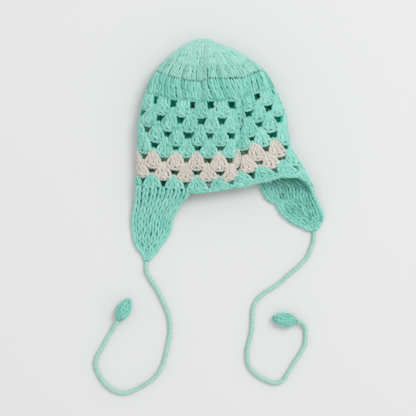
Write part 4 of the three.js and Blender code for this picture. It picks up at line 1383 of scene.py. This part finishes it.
class CAP_OT_crown(bpy.types.Operator):
    """Crochets the dense rounds of the crown and the deep round below them"""

    bl_idname = "cap.crown"
    bl_label = "Crown"

    def execute(self, context):
        rng = np.random.default_rng(context.scene.cap_yarn.seed + 1)
        cap = cap_fabric()
        crown = Skein()
        for row, (count, tone, height, fullness, taper) in enumerate(CROWN_ROUNDS):
            start = max(row - CROWN_OVERLAP, CROWN_START)
            style = PostStyle(tone, taper, CROWN_RELIEF, CROWN_JITTER)
            add_ring_of_posts(crown, cap, count, start, row + height, rng, style, fullness=fullness,
                              chained=False)
        top = len(CROWN_ROUNDS)
        crown.add_sheet(cap, backing_cells(CROWN_SHEET, CROWN_SHEET.down, top), CROWN_SHEET, BEHIND_SHADE)
        place_piece(crown.build("crown_stitches", yarn_material("crown_wool")), "crown")
        deep = Skein()
        add_ring_of_posts(deep, cap, STITCHES_PER_ROUND, *DEEP_ROUND, rng, DEEP_STYLE, STITCH_SHARE / 2)
        deep.add_sheet(cap, backing_cells(DEEP_SHEET, top, LAST_DENSE_ROUND), DEEP_SHEET, BEHIND_SHADE)
        place_piece(deep.build("deep_round_stitches", yarn_material("mint_wool")), "crown_round")
        return {"FINISHED"}


class CAP_OT_clusters(bpy.types.Operator):
    """Crochets the rounds of clusters, mint and off-white, down to the rim"""

    bl_idname = "cap.clusters"
    bl_label = "Rounds of clusters"

    def execute(self, context):
        rng = np.random.default_rng(context.scene.cap_yarn.seed + 2)
        cap = cap_fabric()
        clusters = {}
        for row in range(1, CLUSTER_ROWS + 1):
            for column in range(COLUMNS):
                centre = column + (row % 2) / 2
                clusters.setdefault(piece_of(row, centre), []).append((row, centre))
        for node, members in clusters.items():
            skein = Skein()
            add_clusters(skein, cap, members, rng)
            if node == "rim_band":
                add_rim_edging(skein, cap, rng)

            def keep(u, v, wanted=node):
                """Whether places belong to the wanted piece and lie clear of the gaps."""
                row = cluster_row_at(u, v)
                centre = cluster_centre_at(u, row)
                names = np.array([piece_of(r, c) for r, c in zip(row.ravel(), centre.ravel())])
                return (names.reshape(u.shape) == wanted) & ~in_gap(u, v)

            cells = backing_cells(CLUSTER_SHEET, LAST_DENSE_ROUND, RIM - CLUSTER_SHEET.down, keep)
            skein.add_sheet(cap, cells, CLUSTER_SHEET, BEHIND_SHADE)
            yarn = "white" if node == "white_band" else "mint"
            piece = skein.build(f"{node}_stitches", yarn_material(f"{yarn}_wool"))
            place_piece(piece, node)
        return {"FINISHED"}


class CAP_OT_ear_flaps(bpy.types.Operator):
    """Crochets the two ear flaps"""

    bl_idname = "cap.ear_flaps"
    bl_label = "Ear flaps"

    def execute(self, context):
        rng = np.random.default_rng(context.scene.cap_yarn.seed + 3)
        cap = cap_fabric()
        for side, face, tones, ends, rows, counts in (
            ("left", 1, LEFT_FLAP_TONES, LEFT_FLAP_RANGE, LEFT_FLAP_ROWS, LEFT_FLAP_STITCHES),
            ("right", -1, RIGHT_FLAP_TONES, RIGHT_FLAP_RANGE, RIGHT_FLAP_ROWS, RIGHT_FLAP_STITCHES),
        ):
            flap = flap_fabric(cap, ends, rows)
            skein = Skein()
            add_flap_stitches(skein, flap, len(rows), counts, rng, face, tones)
            across = range(round(1 / FLAP_SHEET.across))
            down = range(round((len(rows) - SHEET_BEFORE_TIP) / FLAP_SHEET.down))
            skein.add_sheet(flap, [(i, j) for i in across for j in down], FLAP_SHEET, HOLLOW_SHADE)
            piece = skein.build(f"flap_{side}_stitches", yarn_material("mint_wool"))
            place_piece(piece, f"ear_flap_{side}")
        return {"FINISHED"}


class CAP_PT_panel(bpy.types.Panel):
    """Lists the cap's sizes, colours and steps"""

    bl_idname = "CAP_PT_panel"
    bl_label = "Ear-flap cap"
    bl_space_type = "VIEW_3D"
    bl_region_type = "UI"
    bl_category = "Cap"

    def draw(self, context):
        layout = self.layout
        for group in (context.scene.cap_yarn, context.scene.cap_colours, context.scene.cap_studio):
            for name in group.__annotations__:
                layout.prop(group, name)
        for operator in STEPS:
            layout.operator(operator.bl_idname)


STEPS = (CAP_OT_stage, CAP_OT_ties, CAP_OT_crown, CAP_OT_clusters, CAP_OT_ear_flaps)
GROUPS = {"cap_yarn": CapYarn, "cap_colours": CapColours, "cap_studio": CapStudio}


def register():
    """Makes the groups, steps and panel known to Blender."""
    for group in GROUPS.values():
        bpy.utils.register_class(group)
    for name, group in GROUPS.items():
        setattr(bpy.types.Scene, name, bpy.props.PointerProperty(type=group))
    for operator in STEPS:
        bpy.utils.register_class(operator)
    bpy.utils.register_class(CAP_PT_panel)


def unregister():
    """Takes them away again."""
    bpy.utils.unregister_class(CAP_PT_panel)
    for operator in reversed(STEPS):
        bpy.utils.unregister_class(operator)
    for name in GROUPS:
        delattr(bpy.types.Scene, name)
    for group in reversed(GROUPS.values()):
        bpy.utils.unregister_class(group)


def main():
    """Crochets the cap on its stage."""
    register()
    for step in STEPS:
        group, name = step.bl_idname.split(".")
        getattr(getattr(bpy.ops, group), name)()


if __name__ == "__main__":
    main()
